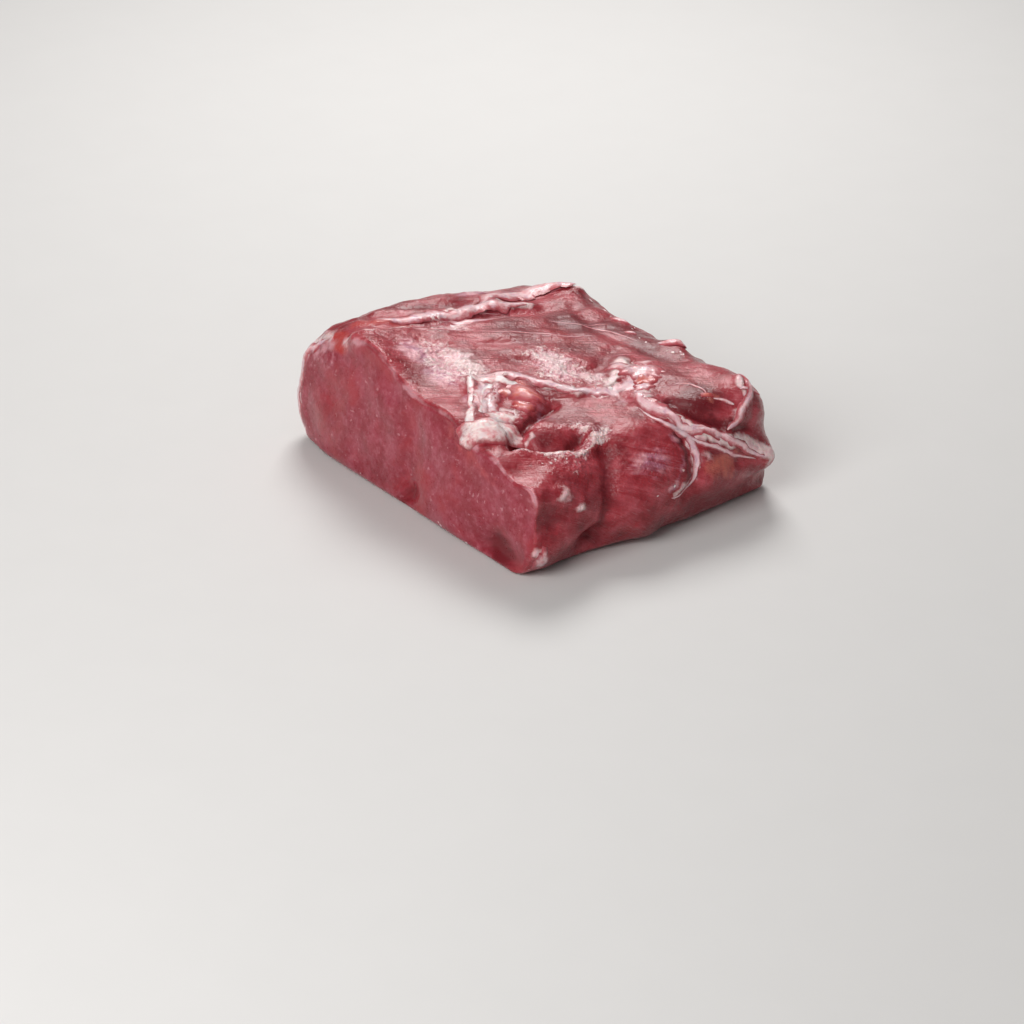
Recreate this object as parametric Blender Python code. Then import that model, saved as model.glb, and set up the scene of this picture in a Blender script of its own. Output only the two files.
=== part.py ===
"""A boneless block of raw meat, lying on its flat underside.

The body is a rounded block whose front is one straight knife cut.  Its outline is
worked out from the sizes below: a section in X and Z with four corner radii is
carried from the cut (front, -Y) to the trimmed back end (+Y), each end is closed by
a fillet, and the top follows a height map.  The surface is then raised and sunk
along its own normals by the named folds: muscle bands, seams, pads of fat, tendon
bands and hollows.  Units are metres, +Z is up, the underside rests at Z = 0.
"""
import bmesh
import bpy
import numpy as np

NODE = "meat_joint"

# Overall sizes of the block
CUT_Y = -0.0825
BACK_Y = 0.0885
LEFT_X = -0.1165
RIGHT_X = 0.1000
FLAT_TOP = 0.0700

# Radii of the section's corners and of the two end fillets
TOP_LEFT_RADIUS = 0.050
TOP_RIGHT_RADIUS = 0.008
LOW_LEFT_RADIUS = 0.021
LOW_RIGHT_RADIUS = 0.010
CUT_EDGE_RADIUS = 0.0035
CUT_LEFT_RADIUS = 0.013
CUT_LOW_RADIUS = 0.005
BACK_RADIUS = 0.026

# How far the cut's upper left border lies under the crest behind it
CREST_DROP = 0.013

# Share of the length that each end fillet takes, as a part of -1 to 1
CUT_SHARE = 0.14
BACK_SHARE = 0.34

# Lean of the cut face and its slight belly
CUT_LEAN = 0.09
CUT_BELLY = 0.003

# Grid cells along X, Y and Z
CELLS = (54, 46, 11)

# How much finer the cells get towards the right side, where the folds are small
DENSER_RIGHT = 0.11

# Height map of the top, in millimetres: size, centre x, centre y, spread x, spread y
TOP_BASE = 64.5
TOP_SWELLS = {
    "crest_behind_cut": (7.0, -43, -82, 21, 26),
    "middle_dome": (4.5, -10, 5, 60, 55),
    "rear_right_muscle": (4.0, 62, 72, 34, 34),
    "left_shoulder": (2.5, -90, -5, 40, 40),
    "cut_edge_left_pad": (5.0, 25, -82, 17, 26),
    "cut_edge_right_pad": (3.5, 64, -82, 10, 18),
    "cut_corner_pad": (3.0, 94, -82, 9, 14),
    "rear_flap_rise": (6.0, -52, 77, 20, 22),
    "back_left_slope": (-5.5, -94, 62, 36, 40),
}

# Folds that follow a line, in millimetres: height, half width, points on the line
BANDS = {
    "back_silverskin": (3.6, 6, [(-66, 20, 71), (-73, 45, 69), (-70, 64, 66), (-56, 77, 65)]),
    "upper_rib": (2.2, 5, [(-73, -50, 78), (-61, -22, 76), (-61, 4, 74), (-54, 41, 68)]),
    "outer_rib": (1.8, 4, [(-84, -44, 77), (-71, -25, 76), (-66, -8, 75)]),
    "rib_valley": (-2.0, 5, [(-80, -26, 77), (-71, -4, 75), (-68, 16, 72)]),
    "second_valley": (-1.6, 5, [(-64, -42, 77), (-52, -18, 75), (-50, 20, 71), (-44, 50, 68)]),
    "crest_lip": (1.6, 4, [(-66, -72, 79), (-59, -56, 78), (-60, -31, 75)]),
    "crest_seam": (-1.2, 4, [(-46, -60, 77), (-38, -40, 74), (-28, -14, 72), (-8, 20, 71)]),
    "left_strand": (2.0, 4, [(-1, -43, 68), (17, -53, 66), (33, -65, 65)]),
    "right_strand": (1.6, 4, [(12, -34, 67), (26, -50, 65), (40, -62, 62)]),
    "centre_tendon": (2.4, 5, [(6, -29, 67), (25, -12, 65), (41, -3, 63), (45, 21, 63)]),
    "centre_seam": (-1.6, 5, [(-6, -10, 70), (18, 4, 67), (28, 20, 66), (16, 44, 67)]),
    "rear_seam": (-1.5, 5, [(-38, 60, 67), (-6, 50, 66), (20, 58, 65), (52, 66, 65)]),
    "pocket_crease": (-4.5, 3.5, [(41, -20, 62), (44, -32, 61), (50, -48, 59), (61, -64, 58)]),
    "pocket_rim": (2.6, 4.5, [(62, -64, 57), (74, -53, 55), (80, -40, 54), (80, -26, 54), (71, -17, 58)]),
    "pocket_floor": (-5.0, 4.5, [(58, -58, 58), (67, -49, 57), (74, -37, 56), (72, -27, 57)]),
    "pocket_bundle": (2.2, 7, [(50, -40, 60), (58, -34, 60), (66, -26, 58)]),
    "tendon_band": (3.4, 5, [(64, 20, 61), (84, 24, 57), (96, 35, 50), (103, 59, 38), (106, 78, 26)]),
    "above_tendon": (-2.6, 4, [(76, 32, 61), (89, 39, 56), (98, 50, 50), (101, 64, 45)]),
    "below_tendon": (-2.0, 4, [(98, 31, 45), (104, 42, 38), (106, 56, 31)]),
    "lobe_fold": (-3.2, 4, [(93, 25, 52), (101, 26, 46), (107, 24, 33), (106, 16, 22)]),
    "edge_strip": (3.0, 4.5, [(83, 74, 64), (92, 71, 61), (98, 65, 54), (101, 52, 48)]),
    "front_fold": (-3.4, 5, [(86, -20, 54), (98, -27, 42), (102, -32, 28), (98, -38, 10)]),
    "cut_valley": (-2.2, 11, [(-2, -79, 44), (-2, -83, 20), (-7, -84, 2)]),
    "cut_notch": (-2.5, 5, [(-4, -83, 12), (-8, -84, 0)]),
    "left_fat_rim": (1.8, 6, [(-100, -64, 67), (-111, -67, 54), (-116, -68, 36), (-112, -68, 14)]),
    "left_seam": (-2.4, 6, [(-114, -40, 44), (-116, 0, 38), (-113, 40, 42), (-100, 74, 40)]),
    "left_low_seam": (-1.8, 5, [(-114, -20, 18), (-114, 24, 22), (-106, 62, 14)]),
    "back_seam": (-2.6, 6, [(-84, 84, 48), (-40, 88, 34), (10, 88, 42), (60, 88, 30)]),
    "back_low_seam": (-2.0, 5, [(-50, 88, 12), (0, 88, 20), (44, 88, 10), (88, 84, 18)]),
    "back_flap": (2.4, 6, [(-70, 80, 58), (-30, 87, 52), (6, 88, 56), (40, 87, 54)]),
}

# Pads and hollows, in millimetres: height, centre, spread in x, y and z
PADS = {
    "edge_fat_lump": (5.5, (44, -67, 60), (13, 8, 14)),
    "orange_pad": (2.8, (28, -28, 64), (11, 8, 14)),
    "tendon_patch": (2.6, (46, 34, 65), (18, 14, 14)),
    "patch_tip": (1.6, (28, 40, 65), (7, 6, 14)),
    "rear_muscle": (1.8, (82, 52, 62), (16, 16, 16)),
    "rear_curl": (4.5, (29, 76, 63), (10, 5, 9)),
    "back_spot": (2.4, (-15, 76, 62), (8, 5, 9)),
    "corner_muscle": (2.6, (84, 4, 56), (14, 18, 12)),
    "front_lobe": (4.2, (102, 0, 39), (11, 19, 13)),
    "front_right_muscle": (2.0, (88, -46, 51), (15, 16, 12)),
    "front_bits": (2.2, (98, -57, 46), (5, 5, 5)),
    "lower_bits": (2.0, (102, -49, 37), (5, 5, 5)),
    "side_dent": (-6.5, (101, -42, 8), (10, 9, 16)),
    "side_foot": (4.0, (104, -8, 10), (9, 13, 13)),
    "rear_side_lobe": (3.0, (107, 44, 28), (8, 18, 11)),
    "rear_tip": (3.2, (103, 76, 28), (10, 11, 10)),
    "under_tip": (-4.0, (103, 76, 10), (9, 16, 9)),
    "corner_fat": (4.2, (99, -71, 14), (9, 11, 12)),
    "corner_dent": (-2.6, (101, -70, 35), (8, 9, 9)),
    "cut_hollow": (-4.5, (72, -83, 12), (15, 9, 9)),
    "cut_low_left": (2.0, (-70, -83, 20), (26, 9, 20)),
    "cut_low_right": (2.0, (32, -83, 16), (22, 9, 18)),
    "left_lobe": (2.5, (-115, 20, 56), (12, 34, 16)),
    "back_left_lobe": (2.6, (-70, 84, 26), (30, 12, 18)),
    "back_right_lobe": (2.8, (40, 88, 26), (34, 12, 16)),
}

# Slow unevenness of the whole surface, in millimetres: height, waves along x, y, z
UNEVEN = ((0.55, 0.083, 0.061, 0.09), (0.40, -0.127, 0.142, 0.11), (0.30, 0.191, 0.109, -0.17))

# Height, in metres, over which the folds fade in above the flat underside
FOOT_FADE = 0.007


def smooth(t):
    """Smooth step from 0 to 1."""
    t = np.clip(t, 0, 1)
    return t * t * (3 - 2 * t)


def bell(t):
    """Bell curve, 1 at t = 0."""
    return np.exp(-t * t)


def top_height(x, y):
    """Height of the top over a point of the plan, in metres."""
    mx = x * 1000
    my = y * 1000
    h = TOP_BASE - 0.022 * my - 0.085 * mx * (1 - np.clip(my, -90, 90) / 80)
    for size, cx, cy, wide, deep in TOP_SWELLS.values():
        h = h + size * bell((mx - cx) / wide) * bell((my - cy) / deep)
    return h / 1000


def block(cube):
    """Carries the points of a cube from -1 to 1 onto the plain rounded block."""
    a = cube[:, 0]
    b = cube[:, 1]
    c = cube[:, 2]
    v = (b + 1) / 2
    left = smooth((-a - 0.62) / 0.38)
    right = smooth((a - 0.6) / 0.4)
    low = smooth((-c - 0.7) / 0.3)
    crest_side = smooth((-a - 0.38) / 0.42)
    crest = crest_side * smooth((c + 0.3) / 0.8)
    at_cut = 1 - smooth(v / 0.14)

    # End fillets: how far each ring of the surface steps in, and where it lies in Y
    r_cut = CUT_EDGE_RADIUS + (CUT_LEFT_RADIUS - CUT_EDGE_RADIUS) * left * (1 - crest)
    r_cut = r_cut + 0.008 * crest + (CUT_LOW_RADIUS - CUT_EDGE_RADIUS) * low * (1 - left)
    r_back = (BACK_RADIUS - 0.010 * right - 0.004 * left) * (1 - 0.5 * low)
    turn_cut = np.clip((b + 1) / CUT_SHARE, 0, 1) * np.pi / 2
    turn_back = np.clip((1 - b) / BACK_SHARE, 0, 1) * np.pi / 2
    inset = r_cut * (1 - np.sin(turn_cut)) + r_back * (1 - np.sin(turn_back))
    along = np.clip((b + 1 - CUT_SHARE) / (2 - CUT_SHARE - BACK_SHARE), 0, 1)
    y = CUT_Y + r_cut + (BACK_Y - r_back - CUT_Y - r_cut) * along
    y = np.where(b < -1 + CUT_SHARE, CUT_Y + r_cut * (1 - np.cos(turn_cut)), y)
    y = np.where(b > 1 - BACK_SHARE, BACK_Y - r_back * (1 - np.cos(turn_back)), y)

    # Section with four corner radii
    side_in = 0.009 * smooth((v - 0.6) / 0.3) * smooth((c + 0.5) / 0.9)
    x0 = LEFT_X + 0.006 * v * v + inset
    x1 = RIGHT_X + 0.008 * smooth(v * 1.6) - 0.003 * smooth((v - 0.75) * 4) - side_in - inset
    z0 = inset * 0.9
    z1 = FLAT_TOP - inset - CREST_DROP * crest_side * at_cut
    x = x0 + (x1 - x0) * (a + 1) / 2
    z = z0 + (z1 - z0) * (c + 1) / 2
    opened = TOP_RIGHT_RADIUS + 0.030 * smooth((v - 0.02) * 3) * (1 - 0.7 * smooth((v - 0.6) / 0.3))
    shrink = np.clip(1 - inset / 0.06 - 0.2 * crest_side * at_cut, 0.2, 1)
    r_low = np.where(a < 0, LOW_LEFT_RADIUS, LOW_RIGHT_RADIUS) * shrink
    r_top = np.where(a < 0, TOP_LEFT_RADIUS - 0.020 * v, opened) * shrink
    r_top = np.minimum(r_top, 0.98 * (z1 - z0 - r_low))
    r = np.where(z > z1 - r_top, r_top, r_low)
    inner_x = np.clip(x, x0 + r, x1 - r)
    inner_z = np.clip(z, z0 + r, z1 - r)
    dx = x - inner_x
    dz = z - inner_z
    round_off = np.hypot(dx, dz)
    square = np.maximum(abs(dx), abs(dz))
    k = np.where(round_off > 1e-9, square / np.maximum(round_off, 1e-9), 1)
    x = inner_x + dx * k
    z = inner_z + dz * k

    # Height map, undercut of the right side, lean and belly of the cut
    z = z * top_height(x, y) / FLAT_TOP
    x = x - smooth((a - 0.5) / 0.5) * 0.007 * smooth((0.026 - z) / 0.026)
    front = (1 - v) ** 2
    belly = np.cos(np.clip(x / 0.1, -1, 1) * np.pi / 2) * np.sin(np.clip(z / FLAT_TOP, 0, 1) * np.pi)
    y = y + front * (CUT_LEAN * z - CUT_BELLY * belly)
    return np.stack([x, y, z], 1)


def line_distance(points, line):
    """Shortest distance from each point to a line of straight pieces, in millimetres."""
    line = np.array(line, float)
    best = np.full(len(points), 1e9)
    for start, end in zip(line[:-1], line[1:]):
        step = end - start
        t = np.clip((points - start) @ step / (step @ step), 0, 1)
        gap = np.linalg.norm(points - start - t[:, None] * step, axis=1)
        best = np.minimum(best, gap)
    return best


def relief(points):
    """Height of all the folds at each point of the block, in metres."""
    mm = points * 1000
    rise = np.zeros(len(mm))
    for high, wide, line in BANDS.values():
        rise = rise + high * bell(line_distance(mm, line) / wide)
    for high, centre, spread in PADS.values():
        rise = rise + high * bell(np.linalg.norm((mm - centre) / np.array(spread, float), axis=1))
    for high, kx, ky, kz in UNEVEN:
        rise = rise + high * np.sin(mm @ np.array([kx, ky, kz]) + 7 * kx) * np.cos(mm @ np.array([ky, -kx, kz]))
    return rise / 1000 * smooth(points[:, 2] / FOOT_FADE)


def cube_grid(cells):
    """A cube from -1 to 1 whose edges are divided into the given numbers of cells."""
    bm = bmesh.new()
    bmesh.ops.create_cube(bm, size=2.0)
    for axis, count in enumerate(cells):
        edges = [e for e in bm.edges if abs(e.verts[0].co[axis] - e.verts[1].co[axis]) > 1.9]
        bmesh.ops.subdivide_edges(bm, edges=edges, cuts=count - 1, use_grid_fill=True)
    return bm


def meat():
    """The joint of meat: one closed solid with a flat underside."""
    bm = cube_grid(CELLS)
    under = [f for f in bm.faces if all(v.co.z < -0.999 for v in f.verts)]
    cube = np.array([v.co[:] for v in bm.verts])
    cube[:, 0] += DENSER_RIGHT * (1 - cube[:, 0] ** 2)
    points = block(cube)
    for vert, point in zip(bm.verts, points):
        vert.co = point
    bm.normal_update()
    normals = np.array([v.normal[:] for v in bm.verts])
    points = points + normals * relief(points)[:, None]
    points[:, 2] = np.maximum(points[:, 2], 0)
    for vert, point in zip(bm.verts, points):
        vert.co = point
    flat = [f for f in under if all(v.co.z < 1e-6 for v in f.verts)]
    bmesh.ops.dissolve_faces(bm, faces=flat)
    mesh = bpy.data.meshes.new(NODE)
    bm.to_mesh(mesh)
    bm.free()
    mesh.shade_smooth()
    return mesh


def centred(mesh):
    """Moves the mesh so that the middle of its underside is the origin."""
    count = len(mesh.vertices)
    flat = np.empty(count * 3)
    mesh.vertices.foreach_get("co", flat)
    points = flat.reshape(-1, 3)
    low = points.min(axis=0)
    high = points.max(axis=0)
    points[:, 0] -= (low[0] + high[0]) / 2
    points[:, 1] -= (low[1] + high[1]) / 2
    mesh.vertices.foreach_set("co", points.ravel())
    mesh.update()


def raw_meat():
    """Wet raw meat."""
    material = bpy.data.materials.new("raw_meat")
    material.use_nodes = True
    shader = material.node_tree.nodes["Principled BSDF"]
    shader.inputs["Base Color"].default_value = (0.42, 0.10, 0.11, 1.0)
    shader.inputs["Roughness"].default_value = 0.38
    return material


def main():
    for old in list(bpy.data.objects):
        bpy.data.objects.remove(old)
    mesh = meat()
    centred(mesh)
    mesh.materials.append(raw_meat())
    joint = bpy.data.objects.new(NODE, mesh)
    bpy.context.scene.collection.objects.link(joint)


main()
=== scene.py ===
"""Finish of a boneless joint of raw meat: wet lean, knife-cut face, fat, silverskin and tendon.

Every surface is worked out with numpy.  The lean is the same rounded block as the solid,
on a finer grid, with muscle fibre and torn film as small relief.  The trimmings (fat, web,
tendon, silverskin, threads and flecks) are pads and ribbons that are laid on the lean.
"""

import math

import bmesh
import bpy
import numpy as np
from bpy.props import FloatProperty, FloatVectorProperty, IntProperty, PointerProperty
from bpy.types import Operator, Panel, PropertyGroup
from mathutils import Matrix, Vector


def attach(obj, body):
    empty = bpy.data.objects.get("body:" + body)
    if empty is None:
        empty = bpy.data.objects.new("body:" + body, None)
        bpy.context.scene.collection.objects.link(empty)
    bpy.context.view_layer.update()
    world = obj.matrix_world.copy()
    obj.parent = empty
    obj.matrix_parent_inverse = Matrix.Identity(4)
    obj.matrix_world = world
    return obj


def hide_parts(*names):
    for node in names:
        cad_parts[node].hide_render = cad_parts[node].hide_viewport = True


bl_info = {
    "name": "Raw Meat Joint",
    "version": (1, 0, 0),
    "blender": (4, 5, 0),
    "location": "View3D > Sidebar > Meat",
    "description": "Builds a boneless joint of raw meat with its fat, silverskin and tendon",
    "category": "Add Mesh",
}

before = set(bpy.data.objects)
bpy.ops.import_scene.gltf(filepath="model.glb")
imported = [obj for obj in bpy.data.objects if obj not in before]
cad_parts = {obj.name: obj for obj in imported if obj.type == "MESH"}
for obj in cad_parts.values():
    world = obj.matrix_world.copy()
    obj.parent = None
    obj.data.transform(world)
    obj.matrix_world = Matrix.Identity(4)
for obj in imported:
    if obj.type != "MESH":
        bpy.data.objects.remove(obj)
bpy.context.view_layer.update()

NODE = "meat_joint"
MM = 0.001
MM_IN_METRE = 1000

# Where the block's own zero lies in the frame
BLOCK_ZERO = np.array([0.00363, -0.00335, 0.0])

# --- The block: the sizes that shape the solid, in metres ---

CUT_Y = -0.0825
BACK_Y = 0.0885
LEFT_X = -0.1165
RIGHT_X = 0.1000
FLAT_TOP = 0.0700
TOP_LEFT_RADIUS = 0.050
TOP_RIGHT_RADIUS = 0.008
LOW_LEFT_RADIUS = 0.021
LOW_RIGHT_RADIUS = 0.010
CUT_EDGE_RADIUS = 0.0035
CUT_LEFT_RADIUS = 0.013
CUT_LOW_RADIUS = 0.005
BACK_RADIUS = 0.026
CREST_DROP = 0.013
CUT_SHARE = 0.14
BACK_SHARE = 0.34
CUT_LEAN = 0.09
CUT_BELLY = 0.003
DENSER_RIGHT = 0.11
FOOT_FADE = 0.007

# How the corners and sides change towards the crest, the back and the foot
CREST_RADIUS = 0.008
BACK_RADIUS_LESS_RIGHT = 0.010
BACK_RADIUS_LESS_LEFT = 0.004
REAR_SIDE_IN = 0.009
LEFT_SIDE_IN = 0.006
RIGHT_SIDE_OUT = 0.008
RIGHT_SIDE_BACK = 0.003
TOP_RIGHT_OPENING = 0.030
TOP_LEFT_CLOSING = 0.020
UNDERCUT_DEPTH = 0.007
UNDERCUT_HEIGHT = 0.026

# Height map of the top, in millimetres: the tilted plane, then size, centre x, centre y, spread x, spread y
TOP_BASE = 64.5
TOP_FALL_ALONG_Y = 0.022
TOP_FALL_ALONG_X = 0.085
TOP_SWELLS = {
    "crest_behind_cut": (7.0, -43, -82, 21, 26),
    "middle_dome": (4.5, -10, 5, 60, 55),
    "rear_right_muscle": (4.0, 62, 72, 34, 34),
    "left_shoulder": (2.5, -90, -5, 40, 40),
    "cut_edge_left_pad": (5.0, 25, -82, 17, 26),
    "cut_edge_right_pad": (3.5, 64, -82, 10, 18),
    "cut_corner_pad": (3.0, 94, -82, 9, 14),
    "rear_flap_rise": (6.0, -52, 77, 20, 22),
    "back_left_slope": (-5.5, -94, 62, 36, 40),
}

# Folds that follow a line, in millimetres: height, half width, points on the line
BANDS = {
    "back_silverskin": (3.6, 6, [(-66, 20, 71), (-73, 45, 69), (-70, 64, 66), (-56, 77, 65)]),
    "upper_rib": (2.2, 5, [(-73, -50, 78), (-61, -22, 76), (-61, 4, 74), (-54, 41, 68)]),
    "outer_rib": (1.8, 4, [(-84, -44, 77), (-71, -25, 76), (-66, -8, 75)]),
    "rib_valley": (-2.0, 5, [(-80, -26, 77), (-71, -4, 75), (-68, 16, 72)]),
    "second_valley": (-1.6, 5, [(-64, -42, 77), (-52, -18, 75), (-50, 20, 71), (-44, 50, 68)]),
    "crest_lip": (1.6, 4, [(-66, -72, 79), (-59, -56, 78), (-60, -31, 75)]),
    "crest_seam": (-1.2, 4, [(-46, -60, 77), (-38, -40, 74), (-28, -14, 72), (-8, 20, 71)]),
    "left_strand": (2.0, 4, [(-1, -43, 68), (17, -53, 66), (33, -65, 65)]),
    "right_strand": (1.6, 4, [(12, -34, 67), (26, -50, 65), (40, -62, 62)]),
    "centre_tendon": (2.4, 5, [(6, -29, 67), (25, -12, 65), (41, -3, 63), (45, 21, 63)]),
    "centre_seam": (-1.6, 5, [(-6, -10, 70), (18, 4, 67), (28, 20, 66), (16, 44, 67)]),
    "rear_seam": (-1.5, 5, [(-38, 60, 67), (-6, 50, 66), (20, 58, 65), (52, 66, 65)]),
    "pocket_crease": (-4.5, 3.5, [(41, -20, 62), (44, -32, 61), (50, -48, 59), (61, -64, 58)]),
    "pocket_rim": (2.6, 4.5, [(62, -64, 57), (74, -53, 55), (80, -40, 54), (80, -26, 54), (71, -17, 58)]),
    "pocket_floor": (-5.0, 4.5, [(58, -58, 58), (67, -49, 57), (74, -37, 56), (72, -27, 57)]),
    "pocket_bundle": (2.2, 7, [(50, -40, 60), (58, -34, 60), (66, -26, 58)]),
    "tendon_band": (3.4, 5, [(64, 20, 61), (84, 24, 57), (96, 35, 50), (103, 59, 38), (106, 78, 26)]),
    "above_tendon": (-2.6, 4, [(76, 32, 61), (89, 39, 56), (98, 50, 50), (101, 64, 45)]),
    "below_tendon": (-2.0, 4, [(98, 31, 45), (104, 42, 38), (106, 56, 31)]),
    "lobe_fold": (-3.2, 4, [(93, 25, 52), (101, 26, 46), (107, 24, 33), (106, 16, 22)]),
    "edge_strip": (3.0, 4.5, [(83, 74, 64), (92, 71, 61), (98, 65, 54), (101, 52, 48)]),
    "front_fold": (-3.4, 5, [(86, -20, 54), (98, -27, 42), (102, -32, 28), (98, -38, 10)]),
    "cut_valley": (-2.2, 11, [(-2, -79, 44), (-2, -83, 20), (-7, -84, 2)]),
    "cut_notch": (-2.5, 5, [(-4, -83, 12), (-8, -84, 0)]),
    "left_fat_rim": (1.8, 6, [(-100, -64, 67), (-111, -67, 54), (-116, -68, 36), (-112, -68, 14)]),
    "left_seam": (-2.4, 6, [(-114, -40, 44), (-116, 0, 38), (-113, 40, 42), (-100, 74, 40)]),
    "left_low_seam": (-1.8, 5, [(-114, -20, 18), (-114, 24, 22), (-106, 62, 14)]),
    "back_seam": (-2.6, 6, [(-84, 84, 48), (-40, 88, 34), (10, 88, 42), (60, 88, 30)]),
    "back_low_seam": (-2.0, 5, [(-50, 88, 12), (0, 88, 20), (44, 88, 10), (88, 84, 18)]),
    "back_flap": (2.4, 6, [(-70, 80, 58), (-30, 87, 52), (6, 88, 56), (40, 87, 54)]),
}

# Pads and hollows, in millimetres: height, centre, spread in x, y and z
PADS = {
    "edge_fat_lump": (5.5, (44, -67, 60), (13, 8, 14)),
    "orange_pad": (2.8, (28, -28, 64), (11, 8, 14)),
    "tendon_patch": (2.6, (46, 34, 65), (18, 14, 14)),
    "patch_tip": (1.6, (28, 40, 65), (7, 6, 14)),
    "rear_muscle": (1.8, (82, 52, 62), (16, 16, 16)),
    "rear_curl": (4.5, (29, 76, 63), (10, 5, 9)),
    "back_spot": (2.4, (-15, 76, 62), (8, 5, 9)),
    "corner_muscle": (2.6, (84, 4, 56), (14, 18, 12)),
    "front_lobe": (4.2, (102, 0, 39), (11, 19, 13)),
    "front_right_muscle": (2.0, (88, -46, 51), (15, 16, 12)),
    "front_bits": (2.2, (98, -57, 46), (5, 5, 5)),
    "lower_bits": (2.0, (102, -49, 37), (5, 5, 5)),
    "side_dent": (-6.5, (101, -42, 8), (10, 9, 16)),
    "side_foot": (4.0, (104, -8, 10), (9, 13, 13)),
    "rear_side_lobe": (3.0, (107, 44, 28), (8, 18, 11)),
    "rear_tip": (3.2, (103, 76, 28), (10, 11, 10)),
    "under_tip": (-4.0, (103, 76, 10), (9, 16, 9)),
    "corner_fat": (4.2, (99, -71, 14), (9, 11, 12)),
    "corner_dent": (-2.6, (101, -70, 35), (8, 9, 9)),
    "cut_hollow": (-4.5, (72, -83, 12), (15, 9, 9)),
    "cut_low_left": (2.0, (-70, -83, 20), (26, 9, 20)),
    "cut_low_right": (2.0, (32, -83, 16), (22, 9, 18)),
    "left_lobe": (2.5, (-115, 20, 56), (12, 34, 16)),
    "back_left_lobe": (2.6, (-70, 84, 26), (30, 12, 18)),
    "back_right_lobe": (2.8, (40, 88, 26), (34, 12, 16)),
}

# Slow unevenness of the whole surface, in millimetres: height, waves along x, y, z
UNEVEN = ((0.55, 0.083, 0.061, 0.09), (0.40, -0.127, 0.142, 0.11), (0.30, 0.191, 0.109, -0.17))

# Fine relief of the lean: noise cells in millimetres (fibre: along, across and down it), heights in metres,
# and the share of the fibre that the knife took off the cut
FIBRE_CELL = np.array([26.0, 3.4, 9.0])
FINE_FIBRE_CELL = np.array([14.0, 1.9, 5.0])
BUNDLE_CELL = np.array([60.0, 11.0, 14.0])
TORN_CELL = 3.2
FINE_TORN_CELL = 1.9
SOFT_CELL = 13.0
LOBE_CELL = 4.2
CUT_GRAIN_CELL = 5.0
BUNDLE_HEIGHT = 0.0009
SOFT_HEIGHT = 0.0004
CUT_GRAIN_HEIGHT = 0.00012
CUT_SMOOTHNESS = 0.85

# The fibre's fan: how fast the coordinate across the fibre grows with x, y, z and the square of x
FIBRE_X = -0.84
FIBRE_Y = 0.545
FIBRE_Z = 0.9
FIBRE_BEND = 0.0022

# Side of the lattice of random numbers, which then repeats
LATTICE = 24

# Laying on the lean: how far round the lean is searched, the reach of the bell, and points at a time
SEARCH = 0.025
REACH = 0.0016
BATCH = 200

# Points below this height rest on the floor
ON_FLOOR = 1e-6

# A ribbon is bent over the lean at this many places, from this many half widths on one side to the other
BEND_PLACES = 7
OVERHANG = 1.4

# --- Where each finish shows on the lean, in millimetres on the block; some marks are painted shade and some painted sheen ---
# A line is (strength, half width, points), where a fold's name stands for its points.
# A patch is (strength, centre, spread).

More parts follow.
